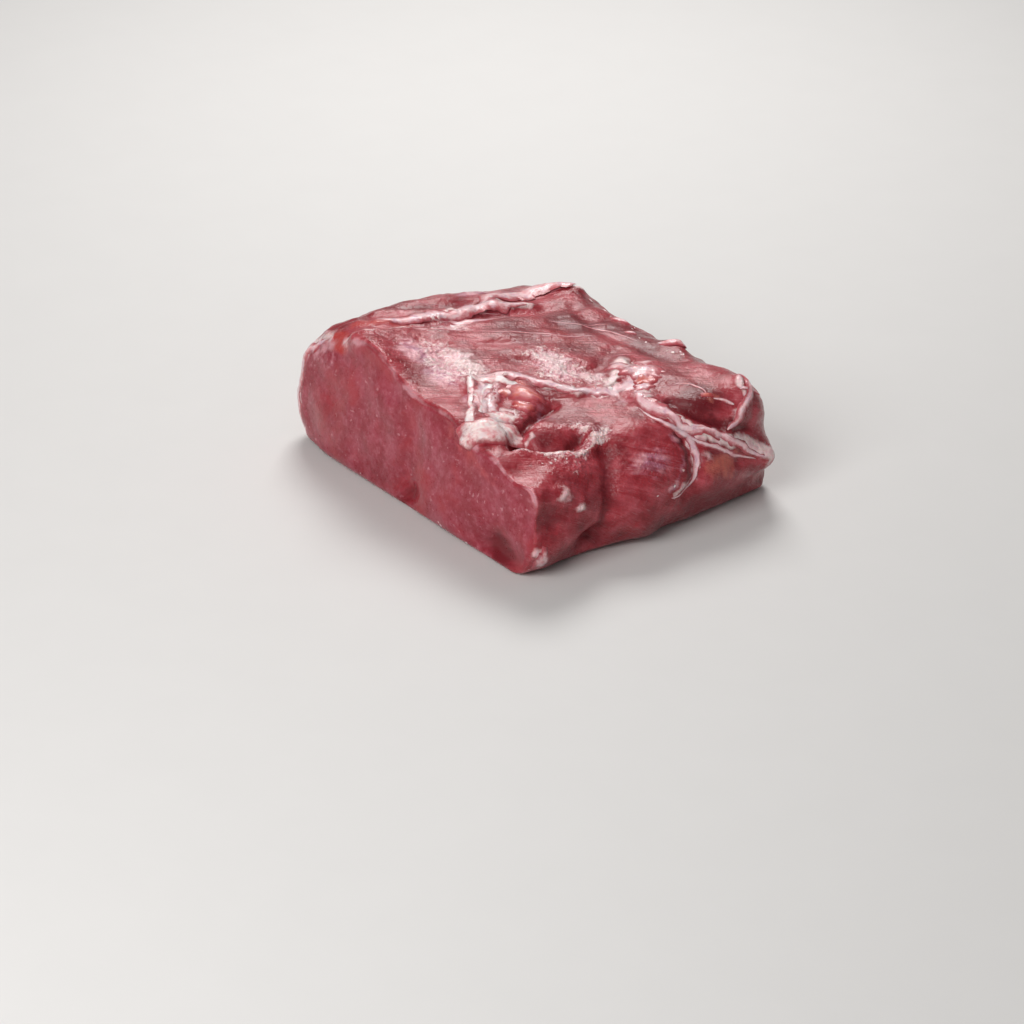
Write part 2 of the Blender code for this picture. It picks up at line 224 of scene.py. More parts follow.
FINISH_LINES = {
    "fat": [
        (0.95, 4.5, [(-65, -32, 76), (-60, -12, 75), (-60, 5, 74), (-59, 23, 71), (-53, 41, 68)]),
        (0.75, 2.0, [(-74, -73, 72), (-62, -66, 79), (-59, -52, 78), (-58, -42, 76), (-64, -34, 76)]),
        (0.90, 5.0, [(3, -32, 67), (11, -21, 67), (22, -14, 66), (33, -7, 65), (43, -2, 64), (49, 6, 63),
                     (47, 16, 63), (38, 28, 65)]),
        (0.95, 4.5, [(64, 22, 62), (84, 24, 57), (92, 29, 53), (97, 36, 50), (102, 46, 46), (103, 59, 39),
                     (105, 77, 26)]),
        (0.80, 2.8, [(94, 29, 52), (100, 28, 47), (105, 27, 39), (107, 23, 31), (107, 10, 27)]),
        (0.85, 3.2, [(83, 74, 64), (91, 71, 61), (96, 68, 57), (99, 60, 53), (101, 52, 48)]),
        (0.90, 6.0, [(-93, -70, 68), (-106, -74, 56), (-111, -76, 40), (-111, -76, 24), (-105, -75, 8)]),
        (0.85, 5.0, "back_silverskin"),
        (0.82, 3.0, [(60, -63, 57), (67, -58, 57), (76, -49, 56), (82, -37, 54), (82, -26, 54),
                     (75, -15, 57)]),
        (0.55, 1.6, [(66, 42, 64), (71, 49, 65), (80, 52, 63), (86, 50, 60)]),
        (0.75, 2.8, "left_seam"),
        (0.55, 1.8, [(-115, -22, 20), (-115, 24, 24), (-106, 62, 16)]),
        (0.80, 3.0, [(-84, 84, 48), (-40, 90, 34), (10, 92, 42), (60, 91, 30)]),
        (0.60, 2.0, [(10, 92, 42), (30, 90, 52), (64, 84, 58)]),
        (0.55, 1.8, [(-40, 90, 34), (-30, 90, 20), (0, 90, 12)]),
        (0.50, 1.5, [(78, -83, 3), (66, -84, 4), (54, -84, 2)]),
        # Pale edge along the pocket bundle's top: partly film, partly a painted highlight
        (0.80, 2.0, [(56, -63, 58), (58, -54, 59), (56, -45, 60), (50, -38, 61)]),
    ],
    "silver": [
        (0.4, 4.0, [(-78, -40, 77), (-71, -25, 76), (-66, -8, 75), (-66, 10, 74)]),
        (0.8, 6.0, [(-80, 10, 72), (-82, 40, 68), (-78, 66, 62)]),
        (0.8, 4.0, [(94, 20, 50), (103, 18, 38), (106, 6, 30)]),
        (0.7, 3.5, [(38, -24, 63), (44, -31, 61), (52, -27, 60)]),
        (0.8, 8.0, [(-112, -30, 52), (-114, 20, 50), (-106, 60, 50)]),
        (0.8, 7.0, [(-90, 80, 58), (-40, 88, 44), (20, 92, 50), (60, 88, 44)]),
    ],
    # Painted shade in the pocket's crease and floor and in the valleys, folds, notch and seams
    "dark": [
        (1.0, 2.6, "pocket_crease"),
        (0.9, 4.0, "pocket_floor"),
        (0.9, 4.0, "above_tendon"),
        (0.9, 3.0, [(93, 22, 52), (100, 23, 46), (106, 20, 33), (105, 12, 24)]),
        (0.6, 5.0, "rib_valley"),
        (0.6, 7.0, [(-4, -83, 10), (-10, -84, 0)]),
        (0.6, 6.0, "front_fold"),
        (0.6, 3.0, [(-50, -46, 77), (-44, -22, 74), (-36, 0, 73), (-20, 26, 71)]),
        (0.6, 5.0, [(-115, -20, 30), (-116, 30, 30), (-108, 66, 26)]),
        (0.7, 6.0, [(-60, 86, 24), (-10, 90, 24), (40, 90, 22), (84, 84, 24)]),
    ],
    "red": [
        (0.7, 5.0, [(-81, -63, 78), (-70, -48, 78), (-61, -38, 76)]),
        (0.5, 5.0, [(24, -80, 62), (40, -80, 54), (70, -81, 48)]),
    ],
    "frost_and_sheen": [
        (0.8, 5.0, [(62, -62, 57), (76, -50, 55), (84, -34, 54), (74, -12, 58)]),
    ],
}

FINISH_PATCHES = {
    "fat": [
        (0.95, (45, 36, 65), (12, 10, 12)),
        (0.90, (31, 37, 65), (7, 6, 10)),
        (0.80, (60, 27, 62), (6, 6, 10)),
        (0.95, (44, -64, 61), (10, 8, 12)),
        (0.90, (20, -50, 66), (9, 8, 12)),
        # Partly painted sheen: whiter film where the wet middle of the top shines
        (0.84, (-16, -35, 70), (22, 10, 12)),
        (0.80, (6, -36, 68), (10, 7, 12)),
        # Partly painted sheen: whiter film where the wet middle of the top shines
        (0.74, (10, 6, 67), (20, 10, 12)),
        (0.70, (33, 12, 65), (15, 11, 12)),
        (0.90, (37, -47, 63), (8, 7, 10)),
        (0.80, (-51, -12, 75), (7, 12, 10)),
        # Corner fat, with a tall pale stroke that is partly a painted highlight
        (0.85, (99, -77, 15), (5, 6, 12)),
        (0.60, (-72, -74, 72), (8, 4, 4)),
        (0.95, (101, -58, 46), (5, 7, 4)),
        (0.90, (104, -50, 37), (5, 6, 4)),
        (0.60, (104, 34, 40), (5, 8, 6)),
        (0.85, (-116, -54, 42), (16, 18, 26)),
        (0.75, (-117, -12, 46), (14, 24, 15)),
        (0.55, (-117, -30, 20), (14, 18, 9)),
        (0.70, (-114, 34, 46), (14, 22, 13)),
        (0.60, (-104, 66, 34), (14, 16, 14)),
        (0.55, (-60, 90, 40), (24, 12, 11)),
        (0.55, (40, 92, 40), (24, 12, 10)),
        (0.45, (70, 88, 16), (16, 10, 8)),
        (0.45, (-20, 88, 52), (18, 8, 7)),
    ],
    "silver": [
        (0.85, (-14, -52, 70), (25, 15, 12)),
        (0.85, (4, -38, 68), (18, 11, 12)),
        # Painted sheen, partly film: the smooth shining muscle near the crest
        (0.95, (-36, -52, 75), (16, 13, 12)),
        (0.90, (20, -53, 66), (14, 11, 12)),
        # Partly painted sheen: whiter film where the wet middle of the top shines
        (0.80, (14, 4, 67), (26, 14, 12)),
        (0.70, (-66, 66, 66), (12, 14, 10)),
        (0.60, (60, 12, 61), (12, 10, 10)),
        (0.65, (-60, 88, 30), (44, 10, 18)),
        (0.80, (-116, 0, 36), (14, 64, 26)),
        (0.50, (40, 90, 22), (26, 8, 12)),
        (0.55, (84, -10, 57), (12, 13, 10)),
        (0.80, (98, 0, 44), (10, 20, 11)),
    ],
    "dark": [
        # Darker patches on the top and the back
        (0.95, (82, 46, 62), (16, 16, 14)),
        (0.75, (24, 62, 65), (34, 12, 12)),
        (0.65, (-10, 62, 66), (20, 12, 10)),
        (0.60, (-30, 13, 71), (18, 24, 12)),
        (0.80, (-22, 46, 69), (28, 20, 12)),
        (0.50, (-88, -20, 74), (14, 30, 10)),
        (0.90, (-50, 72, 62), (12, 5, 5)),
        # Painted shade in the hollow low on the cut and in the dent above the low corner
        (0.95, (72, -84, 10), (17, 8, 10)),
        (0.60, (101, -70, 33), (8, 8, 10)),
        # Darker spot beside the corner muscle
        (0.45, (76, 10, 59), (8, 8, 8)),
        # Painted shade in the pocket and along the foot of the right face
        (0.60, (62, -42, 58), (10, 9, 10)),
        (0.65, (106, 0, 6), (14, 90, 13)),
        # Darker stretch under the cut's upper edge at the left
        (0.40, (-60, -76, 66), (26, 4, 6)),
        # Painted shade along the foot of the cut and over its left part
        (0.35, (-30, -84, 12), (70, 6, 12)),
        (0.42, (-84, -84, 36), (44, 8, 40)),
        # Darker patches on the top
        (0.55, (0, 30, 68), (22, 14, 12)),
        (0.55, (-64, 10, 76), (16, 22, 10)),
        (0.60, (14, 74, 66), (30, 10, 12)),
    ],
    "amber": [
        (0.80, (27, -29, 64), (11, 8, 8)),
        (0.85, (50, 35, 64), (6, 5, 6)),
        (0.85, (105, 42, 33), (8, 16, 8)),
        (0.60, (86, 52, 61), (5, 6, 6)),
        (0.60, (104, 66, 33), (8, 8, 8)),
    ],
    "red": [
        (1.20, (-80, -72, 70), (15, 7, 7)),
        (0.70, (22, -26, 63), (10, 7, 8)),
        (0.45, (-10, 30, 70), (40, 18, 12)),
    ],
    "frost_and_sheen": [
        # Painted sheen, partly crumbly film: the whitish middle of the top where the wet surface shines
        (1.00, (14, 5, 67), (28, 15, 12)),
        (1.00, (-18, -42, 71), (30, 15, 12)),
        (0.80, (36, 14, 64), (16, 11, 12)),
        (0.70, (68, -20, 58), (9, 7, 8)),
        (0.85, (-50, -16, 75), (10, 20, 12)),
        (0.34, (98, -6, 44), (12, 24, 10)),
        (0.45, (86, -44, 53), (14, 14, 10)),
        (0.40, (-100, 20, 62), (20, 50, 12)),
    ],
}


# --- Sizes and colours that a user can change ---


def length(name, description, default):
    """A length in metres with a unit in the panel."""
    return FloatProperty(
        name=name, description=description, default=default, unit="LENGTH", min=0.0, precision=5
    )


def angle(name, description, degrees):
    """An angle, given here in degrees."""
    return FloatProperty(name=name, description=description, default=math.radians(degrees), subtype="ANGLE")


def power(name, description, default):
    """The power of a light in watts."""
    return FloatProperty(name=name, description=description, default=default, unit="POWER")


def colour(name, description, default):
    """A scene-linear colour."""
    return FloatVectorProperty(
        name=name, description=description, default=default, subtype="COLOR", size=3, min=0.0, max=1.0
    )


class MeatSizes(PropertyGroup):
    """Sizes of the lean's fine relief and of the trimmings laid on it."""

    cells_x: IntProperty(name="Cells along X", description="Grid cells along the long side", default=236)
    cells_y: IntProperty(name="Cells along Y", description="Grid cells from the cut to the back", default=182)
    cells_z: IntProperty(name="Cells along Z", description="Grid cells up the sides", default=48)
    fibre_height: length("Fibre height", "Height of the muscle fibre's ridges", 0.00030)
    torn_height: length("Torn film height", "Height of the crumpled film where it shines", 0.00050)
    lobule_height: length("Fat lobule height", "Height of the lobules in the fat", 0.00060)
    lump_height: length("Fat lump height", "Thickness of the fat lump by the cut", 0.0042)
    flecks: IntProperty(name="Flecks", description="Number of loose fat flecks", default=90)


class MeatColours(PropertyGroup):
    """Colours of the lean and of the trimmings."""

    lean: colour("Lean", "Muscle on the outside", (0.33, 0.022, 0.033))
    lean_pale: colour("Pale lean", "Pale fibre of the muscle", (0.47, 0.075, 0.096))
    deep_lean_and_shade: colour("Deep lean", "Dark exposed muscle", (0.155, 0.007, 0.013))
    # Dark muscle tone, also laid by the dark mask as painted shade in creases, hollows and along the foot
    cut: colour("Cut face", "Muscle on the knife cut", (0.27, 0.021, 0.036))
    cut_pale: colour("Pale cut face", "Marbling of the knife cut", (0.36, 0.053, 0.080))
    cut_red: colour("Red cut face", "Redder stretch under the cut's upper edge", (0.38, 0.028, 0.037))
    fat: colour("Fat", "Outer fat", (0.95, 0.77, 0.75))
    silverskin: colour("Silverskin", "Thin film on the muscle", (0.82, 0.44, 0.49))
    lilac: colour("Lilac film", "Film over dark muscle", (0.55, 0.25, 0.36))
    tendon: colour("Tendon", "Tendon and gristle", (0.90, 0.62, 0.64))
    amber: colour("Amber", "Translucent fat on red muscle", (0.60, 0.150, 0.115))
    red: colour("Red", "Bright red muscle under thin fat", (0.46, 0.045, 0.042))
    fat_pink: colour("Pink fat", "Thin fat over muscle", (0.74, 0.32, 0.34))


class StageSizes(PropertyGroup):
    """Camera, lights and floor."""

    azimuth: angle("Camera azimuth", "Round from the cut face", 51.58)
    elevation: angle("Camera elevation", "Above the floor", 28.9078)
    distance: length("Camera distance", "From the point looked at", 1.7896)
    lens: FloatProperty(name="Lens", description="Focal length in millimetres", default=120.87)
    floor_side: length("Floor side", "Side of the square floor", 12.0)
    floor_colour: colour("Floor", "Plain pale floor", (0.66, 0.65, 0.64))
    key_power: power("Key light", "Power of the soft light from behind", 11.5)
    side_power: power("Side light", "Power of the soft light on the cut", 10.5)
    fill_power: power("Fill light", "Power of the soft light on the right", 0.4)
    room: FloatProperty(name="Room light", description="Strength of the even light all round", default=0.20)


# --- Curves and noise ---


def smooth(t):
    """Smooth step from 0 to 1: 3 t squared minus 2 t cubed."""
    t = np.clip(t, 0, 1)
    return t * t * (3 - 2 * t)


def bell(t):
    """Bell curve, 1 at t = 0: e to the power of minus t squared."""
    return np.exp(-t * t)


def noise(points, cell, seed):
    """Value noise from -1 to 1: random numbers on a lattice of the given cell, blended by smooth steps."""
    table = np.random.default_rng(seed).random((LATTICE, LATTICE, LATTICE))
    q = points / cell
    base = np.floor(q).astype(int)
    t = smooth(q - base)
    total = np.zeros(len(points))
    for corner in range(8):
        step = np.array([corner & 1, corner >> 1 & 1, corner >> 2 & 1])
        weight = np.prod(np.where(step, t, 1 - t), axis=1)
        index = (base + step) % LATTICE
        total += weight * table[index[:, 0], index[:, 1], index[:, 2]]
    return total * 2 - 1


def line_distance(points, line):
    """Shortest distance from each point to a line of straight pieces."""
    line = np.array(line, float)
    best = np.full(len(points), np.inf)
    for start, end in zip(line[:-1], line[1:]):
        step = end - start
        t = np.clip((points - start) @ step / (step @ step), 0, 1)
        gap = np.linalg.norm(points - start - t[:, None] * step, axis=1)
        best = np.minimum(best, gap)
    return best


def patch_distance(points, centre, spread):
    """Distance from a patch's centre, measured in its spreads along x, y and z."""
    return np.linalg.norm((points - centre) / np.array(spread, float), axis=1)


def curve_through(knots, count):
    """Points of a smooth curve through the knots: a Catmull-Rom spline, sampled evenly in its parameter."""
    p = np.array(knots, float)
    p = np.concatenate([[2 * p[0] - p[1]], p, [2 * p[-1] - p[-2]]])
    t = np.linspace(0, len(p) - 3, count)
    i = np.minimum(t.astype(int), len(p) - 4)
    u = (t - i)[:, None]
    a, b, c, d = p[i], p[i + 1], p[i + 2], p[i + 3]
    return 0.5 * (2 * b + (c - a) * u + (2 * a - 5 * b + 4 * c - d) * u**2 + (3 * b - a - 3 * c + d) * u**3)


# --- The lean ---


def top_height(x, y):
    """Height of the top over a point of the plan: a tilted plane plus the bell-shaped swells."""
    mx = x * MM_IN_METRE
    my = y * MM_IN_METRE
    h = TOP_BASE - TOP_FALL_ALONG_Y * my - TOP_FALL_ALONG_X * mx * (1 - np.clip(my, -90, 90) / 80)
    for size, cx, cy, wide, deep in TOP_SWELLS.values():
        h = h + size * bell((mx - cx) / wide) * bell((my - cy) / deep)
    return h / MM_IN_METRE


def block(cube):
    """Points of a cube from -1 to 1 carried onto the rounded block.

    a, b and c run along X, Y and Z.  A section with four corner radii is carried along b, each
    end steps in by a quarter circle, and the heights are scaled to the map of the top.
    """
    a, b, c = cube.T
    v = (b + 1) / 2
    left = smooth((-a - 0.62) / 0.38)
    right = smooth((a - 0.6) / 0.4)
    low = smooth((-c - 0.7) / 0.3)
    crest_side = smooth((-a - 0.38) / 0.42)
    crest = crest_side * smooth((c + 0.3) / 0.8)
    at_cut = 1 - smooth(v / 0.14)

    r_cut = CUT_EDGE_RADIUS + (CUT_LEFT_RADIUS - CUT_EDGE_RADIUS) * left * (1 - crest)
    r_cut = r_cut + CREST_RADIUS * crest + (CUT_LOW_RADIUS - CUT_EDGE_RADIUS) * low * (1 - left)
    r_back = (BACK_RADIUS - BACK_RADIUS_LESS_RIGHT * right - BACK_RADIUS_LESS_LEFT * left) * (1 - 0.5 * low)
    turn_cut = np.clip((b + 1) / CUT_SHARE, 0, 1) * np.pi / 2
    turn_back = np.clip((1 - b) / BACK_SHARE, 0, 1) * np.pi / 2
    inset = r_cut * (1 - np.sin(turn_cut)) + r_back * (1 - np.sin(turn_back))
    along = np.clip((b + 1 - CUT_SHARE) / (2 - CUT_SHARE - BACK_SHARE), 0, 1)
    y = CUT_Y + r_cut + (BACK_Y - r_back - CUT_Y - r_cut) * along
    y = np.where(b < -1 + CUT_SHARE, CUT_Y + r_cut * (1 - np.cos(turn_cut)), y)
    y = np.where(b > 1 - BACK_SHARE, BACK_Y - r_back * (1 - np.cos(turn_back)), y)

    side_in = REAR_SIDE_IN * smooth((v - 0.6) / 0.3) * smooth((c + 0.5) / 0.9)
    x0 = LEFT_X + LEFT_SIDE_IN * v * v + inset
    x1 = RIGHT_X + RIGHT_SIDE_OUT * smooth(v * 1.6) - RIGHT_SIDE_BACK * smooth((v - 0.75) * 4)
    x1 = x1 - side_in - inset
    z0 = inset * 0.9
    z1 = FLAT_TOP - inset - CREST_DROP * crest_side * at_cut
    x = x0 + (x1 - x0) * (a + 1) / 2
    z = z0 + (z1 - z0) * (c + 1) / 2
    opening = TOP_RIGHT_OPENING * smooth((v - 0.02) * 3) * (1 - 0.7 * smooth((v - 0.6) / 0.3))
    opened = TOP_RIGHT_RADIUS + opening
    shrink = np.clip(1 - inset / 0.06 - 0.2 * crest_side * at_cut, 0.2, 1)
    r_low = np.where(a < 0, LOW_LEFT_RADIUS, LOW_RIGHT_RADIUS) * shrink
    r_top = np.where(a < 0, TOP_LEFT_RADIUS - TOP_LEFT_CLOSING * v, opened) * shrink
    r_top = np.minimum(r_top, 0.98 * (z1 - z0 - r_low))
    r = np.where(z > z1 - r_top, r_top, r_low)
    inner_x = np.clip(x, x0 + r, x1 - r)
    inner_z = np.clip(z, z0 + r, z1 - r)
    dx = x - inner_x
    dz = z - inner_z
    round_off = np.hypot(dx, dz)
    square = np.maximum(abs(dx), abs(dz))
    k = np.where(round_off > 1e-9, square / np.maximum(round_off, 1e-9), 1)
    x = inner_x + dx * k
    z = inner_z + dz * k

    z = z * top_height(x, y) / FLAT_TOP
    x = x - smooth((a - 0.5) / 0.5) * UNDERCUT_DEPTH * smooth((UNDERCUT_HEIGHT - z) / UNDERCUT_HEIGHT)
    front = (1 - v) ** 2
    belly = np.cos(np.clip(x / 0.1, -1, 1) * np.pi / 2) * np.sin(np.clip(z / FLAT_TOP, 0, 1) * np.pi)
    y = y + front * (CUT_LEAN * z - CUT_BELLY * belly)
    return np.stack([x, y, z], 1)


def relief(mm):
    """Height of the folds at points in millimetres: bells across the bands and round the pads, slow waves."""
    rise = np.zeros(len(mm))
    for high, wide, line in BANDS.values():
        rise += high * bell(line_distance(mm, line) / wide)
    for high, centre, spread in PADS.values():
        rise += high * bell(patch_distance(mm, centre, spread))
    for high, kx, ky, kz in UNEVEN:
        rise += high * np.sin(mm @ np.array([kx, ky, kz]) + 7 * kx) * np.cos(mm @ np.array([ky, -kx, kz]))
    return rise * MM


def finish_amounts(mm):
    """How much of each finish shows at points in millimetres: the largest bell of its lines and patches."""
    slow = np.stack([noise(mm, 8.0, 11 + i) for i in range(3)], 1)
    quick = np.stack([noise(mm, 2.8, 14 + i) for i in range(3)], 1)
    shifted = mm + 2.4 * slow + 1.3 * quick
    amounts = {}
    for name in FINISH_PATCHES:
        amount = np.zeros(len(mm))
        for strength, wide, line in FINISH_LINES.get(name, ()):
            if isinstance(line, str):
                _, _, line = BANDS[line]
            amount = np.maximum(amount, strength * bell(line_distance(shifted, line) / wide))
        for strength, centre, spread in FINISH_PATCHES[name]:
            amount = np.maximum(amount, strength * bell(patch_distance(shifted, centre, spread)))
        amounts[name] = amount
    return amounts


def fibre_coordinates(mm):
    """Along, across and depth of the muscle fibre, which fans out from the crest in a gentle parabola."""
    x, y, z = mm.T
    across = FIBRE_X * x + FIBRE_Y * y + FIBRE_BEND * x * x + FIBRE_Z * z
    along = FIBRE_Y * x - FIBRE_X * y
    depth = 0.5 * z + 0.2 * x
    return np.stack([along, across, depth], 1)


def cube_sheet(cells):
    """Points and faces of a cube from -1 to 1: a closed ring carried front to back, and two end grids."""
    nx, ny, nz = cells
    a = np.linspace(-1, 1, nx + 1)
    b = np.linspace(-1, 1, ny + 1)
    c = np.linspace(-1, 1, nz + 1)
    ring_a = np.concatenate([a[:-1], np.full(nz, 1.0), a[::-1][:-1], np.full(nz, -1.0)])
    ring_c = np.concatenate([np.full(nx, -1.0), c[:-1], np.full(nx, 1.0), c[::-1][:-1]])
    around = len(ring_a)
    rows = np.repeat(b, around)
    points = [np.stack([np.tile(ring_a, ny + 1), rows, np.tile(ring_c, ny + 1)], 1)]
    index = np.arange((ny + 1) * around).reshape(ny + 1, around)
    beside = np.roll(index, -1, axis=1)
    faces = [np.stack([index[1:], beside[1:], beside[:-1], index[:-1]], -1).reshape(-1, 4)]
    first = len(points[0])
    for end, row in ((-1.0, 0), (1.0, ny)):
        grid = np.zeros((nz + 1, nx + 1), int)
        loop = index[row]
        grid[0, :nx] = loop[:nx]
        grid[:nz, nx] = loop[nx : nx + nz]
        grid[nz, ::-1][:nx] = loop[nx + nz : 2 * nx + nz]
        grid[::-1, 0][:nz] = loop[2 * nx + nz :]
        inside = (nz - 1) * (nx - 1)
        grid[1:-1, 1:-1] = first + np.arange(inside).reshape(nz - 1, nx - 1)
        first += inside
        up, over = np.meshgrid(c[1:-1], a[1:-1], indexing="ij")
        points.append(np.stack([over.ravel(), np.full(inside, end), up.ravel()], 1))
        quads = np.stack([grid[:-1, :-1], grid[:-1, 1:], grid[1:, 1:], grid[1:, :-1]], -1).reshape(-1, 4)
        faces.append(quads if end < 0 else quads[:, ::-1])
    return np.concatenate(points), np.concatenate(faces)


def point_normals(points, faces):
    """Normal at each point: the sum of the area-weighted normals of the quads round it."""
    p = points[faces]
    across = np.cross(p[:, 2] - p[:, 0], p[:, 3] - p[:, 1])
    total = np.zeros_like(points)
    for corner in range(4):
        np.add.at(total, faces[:, corner], across)
    return total / np.maximum(np.linalg.norm(total, axis=1, keepdims=True), 1e-12)


class Lean:
    """The lean's fine surface in the frame, kept so that the trimmings can be laid on it."""

    points = None
    normals = None
    faces = None
    finish = None
    fibre = None


def make_lean(sizes):
    """Works out the lean: block plus folds, then fibre, crumpled film and fat lobules along the normals."""
    cube, faces = cube_sheet((sizes.cells_x, sizes.cells_y, sizes.cells_z))
    cut = smooth((-cube[:, 1] - 1 + CUT_SHARE * 0.75) / (CUT_SHARE * 0.5))
    on_edge = bell((cube[:, 1] + 1 - CUT_SHARE * 0.5) / (CUT_SHARE * 0.45))
    on_edge *= smooth((cube[:, 2] - 0.2) / 0.6)
    cube[:, 0] += DENSER_RIGHT * (1 - cube[:, 0] ** 2)
    flat = block(cube)
    mm = flat * MM_IN_METRE
    fade = smooth(flat[:, 2] / FOOT_FADE)
    folded = flat + point_normals(flat, faces) * (relief(mm) * fade)[:, None]

    finish = finish_amounts(mm)
    finish["cut"] = cut
    finish["edge"] = on_edge * (0.55 + 0.45 * noise(mm, 6.0, 31))
    fibre = fibre_coordinates(mm)
    outside = 1 - CUT_SMOOTHNESS * cut
    ridges = noise(fibre, FIBRE_CELL, 41) + 0.5 * noise(fibre, FINE_FIBRE_CELL, 42)
    bundles = noise(fibre, BUNDLE_CELL, 43)
    torn = noise(mm, TORN_CELL, 44) + 0.6 * noise(mm, FINE_TORN_CELL, 45)
    soft = noise(mm, SOFT_CELL, 46)
    lobes = 1 - 2 * abs(noise(mm, LOBE_CELL, 47))
    rise = sizes.fibre_height * ridges * outside * (1 - 0.7 * finish["fat"])
    rise += BUNDLE_HEIGHT * bundles * outside + SOFT_HEIGHT * soft * (1 - 0.6 * cut)
    rise += sizes.torn_height * torn * (0.25 + finish["frost_and_sheen"]) * outside
    rise += sizes.lobule_height * lobes * finish["fat"] * outside
    rise += CUT_GRAIN_HEIGHT * noise(mm, CUT_GRAIN_CELL, 48) * cut
    points = folded + point_normals(folded, faces) * (rise * fade)[:, None]
    points[:, 2] = np.maximum(points[:, 2], 0)

    Lean.points = points + BLOCK_ZERO
    Lean.normals = point_normals(points, faces)
    Lean.faces = faces
    Lean.finish = finish
    Lean.fibre = fibre * MM


def lay_on_lean(points):
    """Foot and normal on the lean for points in the frame: a plane fitted to the lean with bell weights."""
    if Lean.points is None:
        raise RuntimeError("The lean has to be built before its trimmings")
    above_low = Lean.points > points.min(axis=0) - SEARCH
    below_high = Lean.points < points.max(axis=0) + SEARCH
    inside = np.all(above_low & below_high, axis=1)
    there = Lean.points[inside]
    facing = Lean.normals[inside]
    feet = np.empty_like(points)
    normals = np.empty_like(points)
    for start in range(0, len(points), BATCH):
        now = slice(start, start + BATCH)
        p = points[now]
        gap = ((p[:, None] - there[None]) ** 2).sum(axis=2)
        gap -= gap.min(axis=1, keepdims=True)
        weight = np.exp(-gap / REACH**2)
        weight /= weight.sum(axis=1, keepdims=True)
        n = weight @ facing
        n /= np.linalg.norm(n, axis=1, keepdims=True)
        on_plane = weight @ there
        feet[now] = p - ((p - on_plane) * n).sum(axis=1, keepdims=True) * n
        normals[now] = n
    return feet, normals


# --- Trimmings: ribbons and pads laid on the lean ---


def tube_faces(rings, around):
    """Quads of a tube of closed rings, and the triangles that close its two pole points."""
    index = np.arange(rings * around).reshape(rings, around)
    beside = np.roll(index, -1, axis=1)
    quads = np.stack([index[:-1], index[1:], beside[1:], beside[:-1]], -1).reshape(-1, 4)
    pole = rings * around
    first = np.stack([np.full(around, pole), index[0], beside[0]], 1)
    last = np.stack([np.full(around, pole + 1), beside[-1], index[-1]], 1)
    return quads, np.concatenate([first, last])


def ribbon(knots, half_width, half_height, lift=(0.0,), rings=60, around=16, ragged=0.35, strings=0.5, seed=1,
           hug=0.9, sunk=0.15):
    """A ribbon along a curve on the lean, all sizes in millimetres.

    The curve is laid on the lean and wanders sideways with noise.  A flat lens is carried along
    it and bent over the lean's folds: its width and height follow their lists of values, fall to
    nothing at both ends and vary with noise, each rim on its own, and noise in strings along the
    ribbon ridges its top.  A share of the height is sunk in the lean.
    """
    path = curve_through(knots, rings) * MM + BLOCK_ZERO
    feet, normals = lay_on_lean(path)
    t = np.linspace(0, 1, rings)
    steps = np.linalg.norm(np.diff(feet, axis=0), axis=1)
    length_mm = np.concatenate([[0], np.cumsum(steps)]) * MM_IN_METRE

    def spread(values):
        return np.interp(t, np.linspace(0, 1, len(values)), values) * MM

    def wander(cell, number):
        spots = np.stack([length_mm, np.full(rings, seed * 7.3), np.full(rings, number * 3.7)], 1)
        return noise(spots, cell, seed + number)

    taper = np.sqrt(np.clip(1 - np.abs(2 * t - 1) ** 5, 0, 1)) * 0.97 + 0.03
    wide = spread(half_width) * taper
    high = spread(half_height) * taper * (1 + 0.5 * ragged * wander(4.0, 1))
    ahead = np.gradient(feet, axis=0)
    ahead /= np.linalg.norm(ahead, axis=1, keepdims=True)
    side = np.cross(ahead, normals)
    side /= np.linalg.norm(side, axis=1, keepdims=True)
    up = np.cross(side, ahead)
    feet = feet + side * (0.5 * wide * wander(9.0, 2))[:, None]
    turn = np.linspace(0, 2 * np.pi, around, endpoint=False)
    plus = 1 + ragged * (wander(5.0, 3) + 0.5 * wander(2.2, 4))
    minus = 1 + ragged * (wander(5.0, 5) + 0.5 * wander(2.2, 6))
    across = np.cos(turn) * np.where(np.cos(turn) > 0, plus[:, None], minus[:, None]) * wide[:, None]
    string_length = 9.0
    string_width = 0.9
    run = np.repeat(length_mm / string_length, around)
    lanes = np.stack([run, (across * MM_IN_METRE / string_width).ravel(), np.full(len(run), seed * 1.7)], 1)
    ridged = 1 + strings * noise(lanes, 1.0, seed + 9).reshape(rings, around)
    rise = np.sign(np.sin(turn)) * np.sin(turn) ** 2 * high[:, None] * ridged

    columns = np.linspace(-OVERHANG, OVERHANG, BEND_PLACES)
    plan = feet[:, None] + side[:, None] * (wide[:, None] * columns)[..., None]
    ground = lay_on_lean(plan.reshape(-1, 3))[0].reshape(plan.shape)
    sag = ((ground - plan) * up[:, None]).sum(axis=2)
    over = np.clip(across / wide[:, None], -OVERHANG, OVERHANG)[..., None]
    share = np.maximum(0, 1 - np.abs(over - columns) / (columns[1] - columns[0]))
    bent = (share * sag[:, None]).sum(axis=2)
    offset = (spread(lift) - sunk * high)[:, None] + hug * bent + rise
    points = feet[:, None] + side[:, None] * across[..., None] + up[:, None] * offset[..., None]
    poles = np.stack([feet[0] - ahead[0] * wide[0] * 0.5, feet[-1] + ahead[-1] * wide[-1] * 0.5])
    rim = np.tile(np.abs(np.cos(turn)), rings)
    grain = np.stack([np.repeat(length_mm * MM, around), across.ravel(), rim], 1)
    ends = [[0, 0, 1], [length_mm[-1] * MM, 0, 1]]
    points = np.concatenate([points.reshape(-1, 3), poles])
    return points, tube_faces(rings, around), np.concatenate([grain, ends])


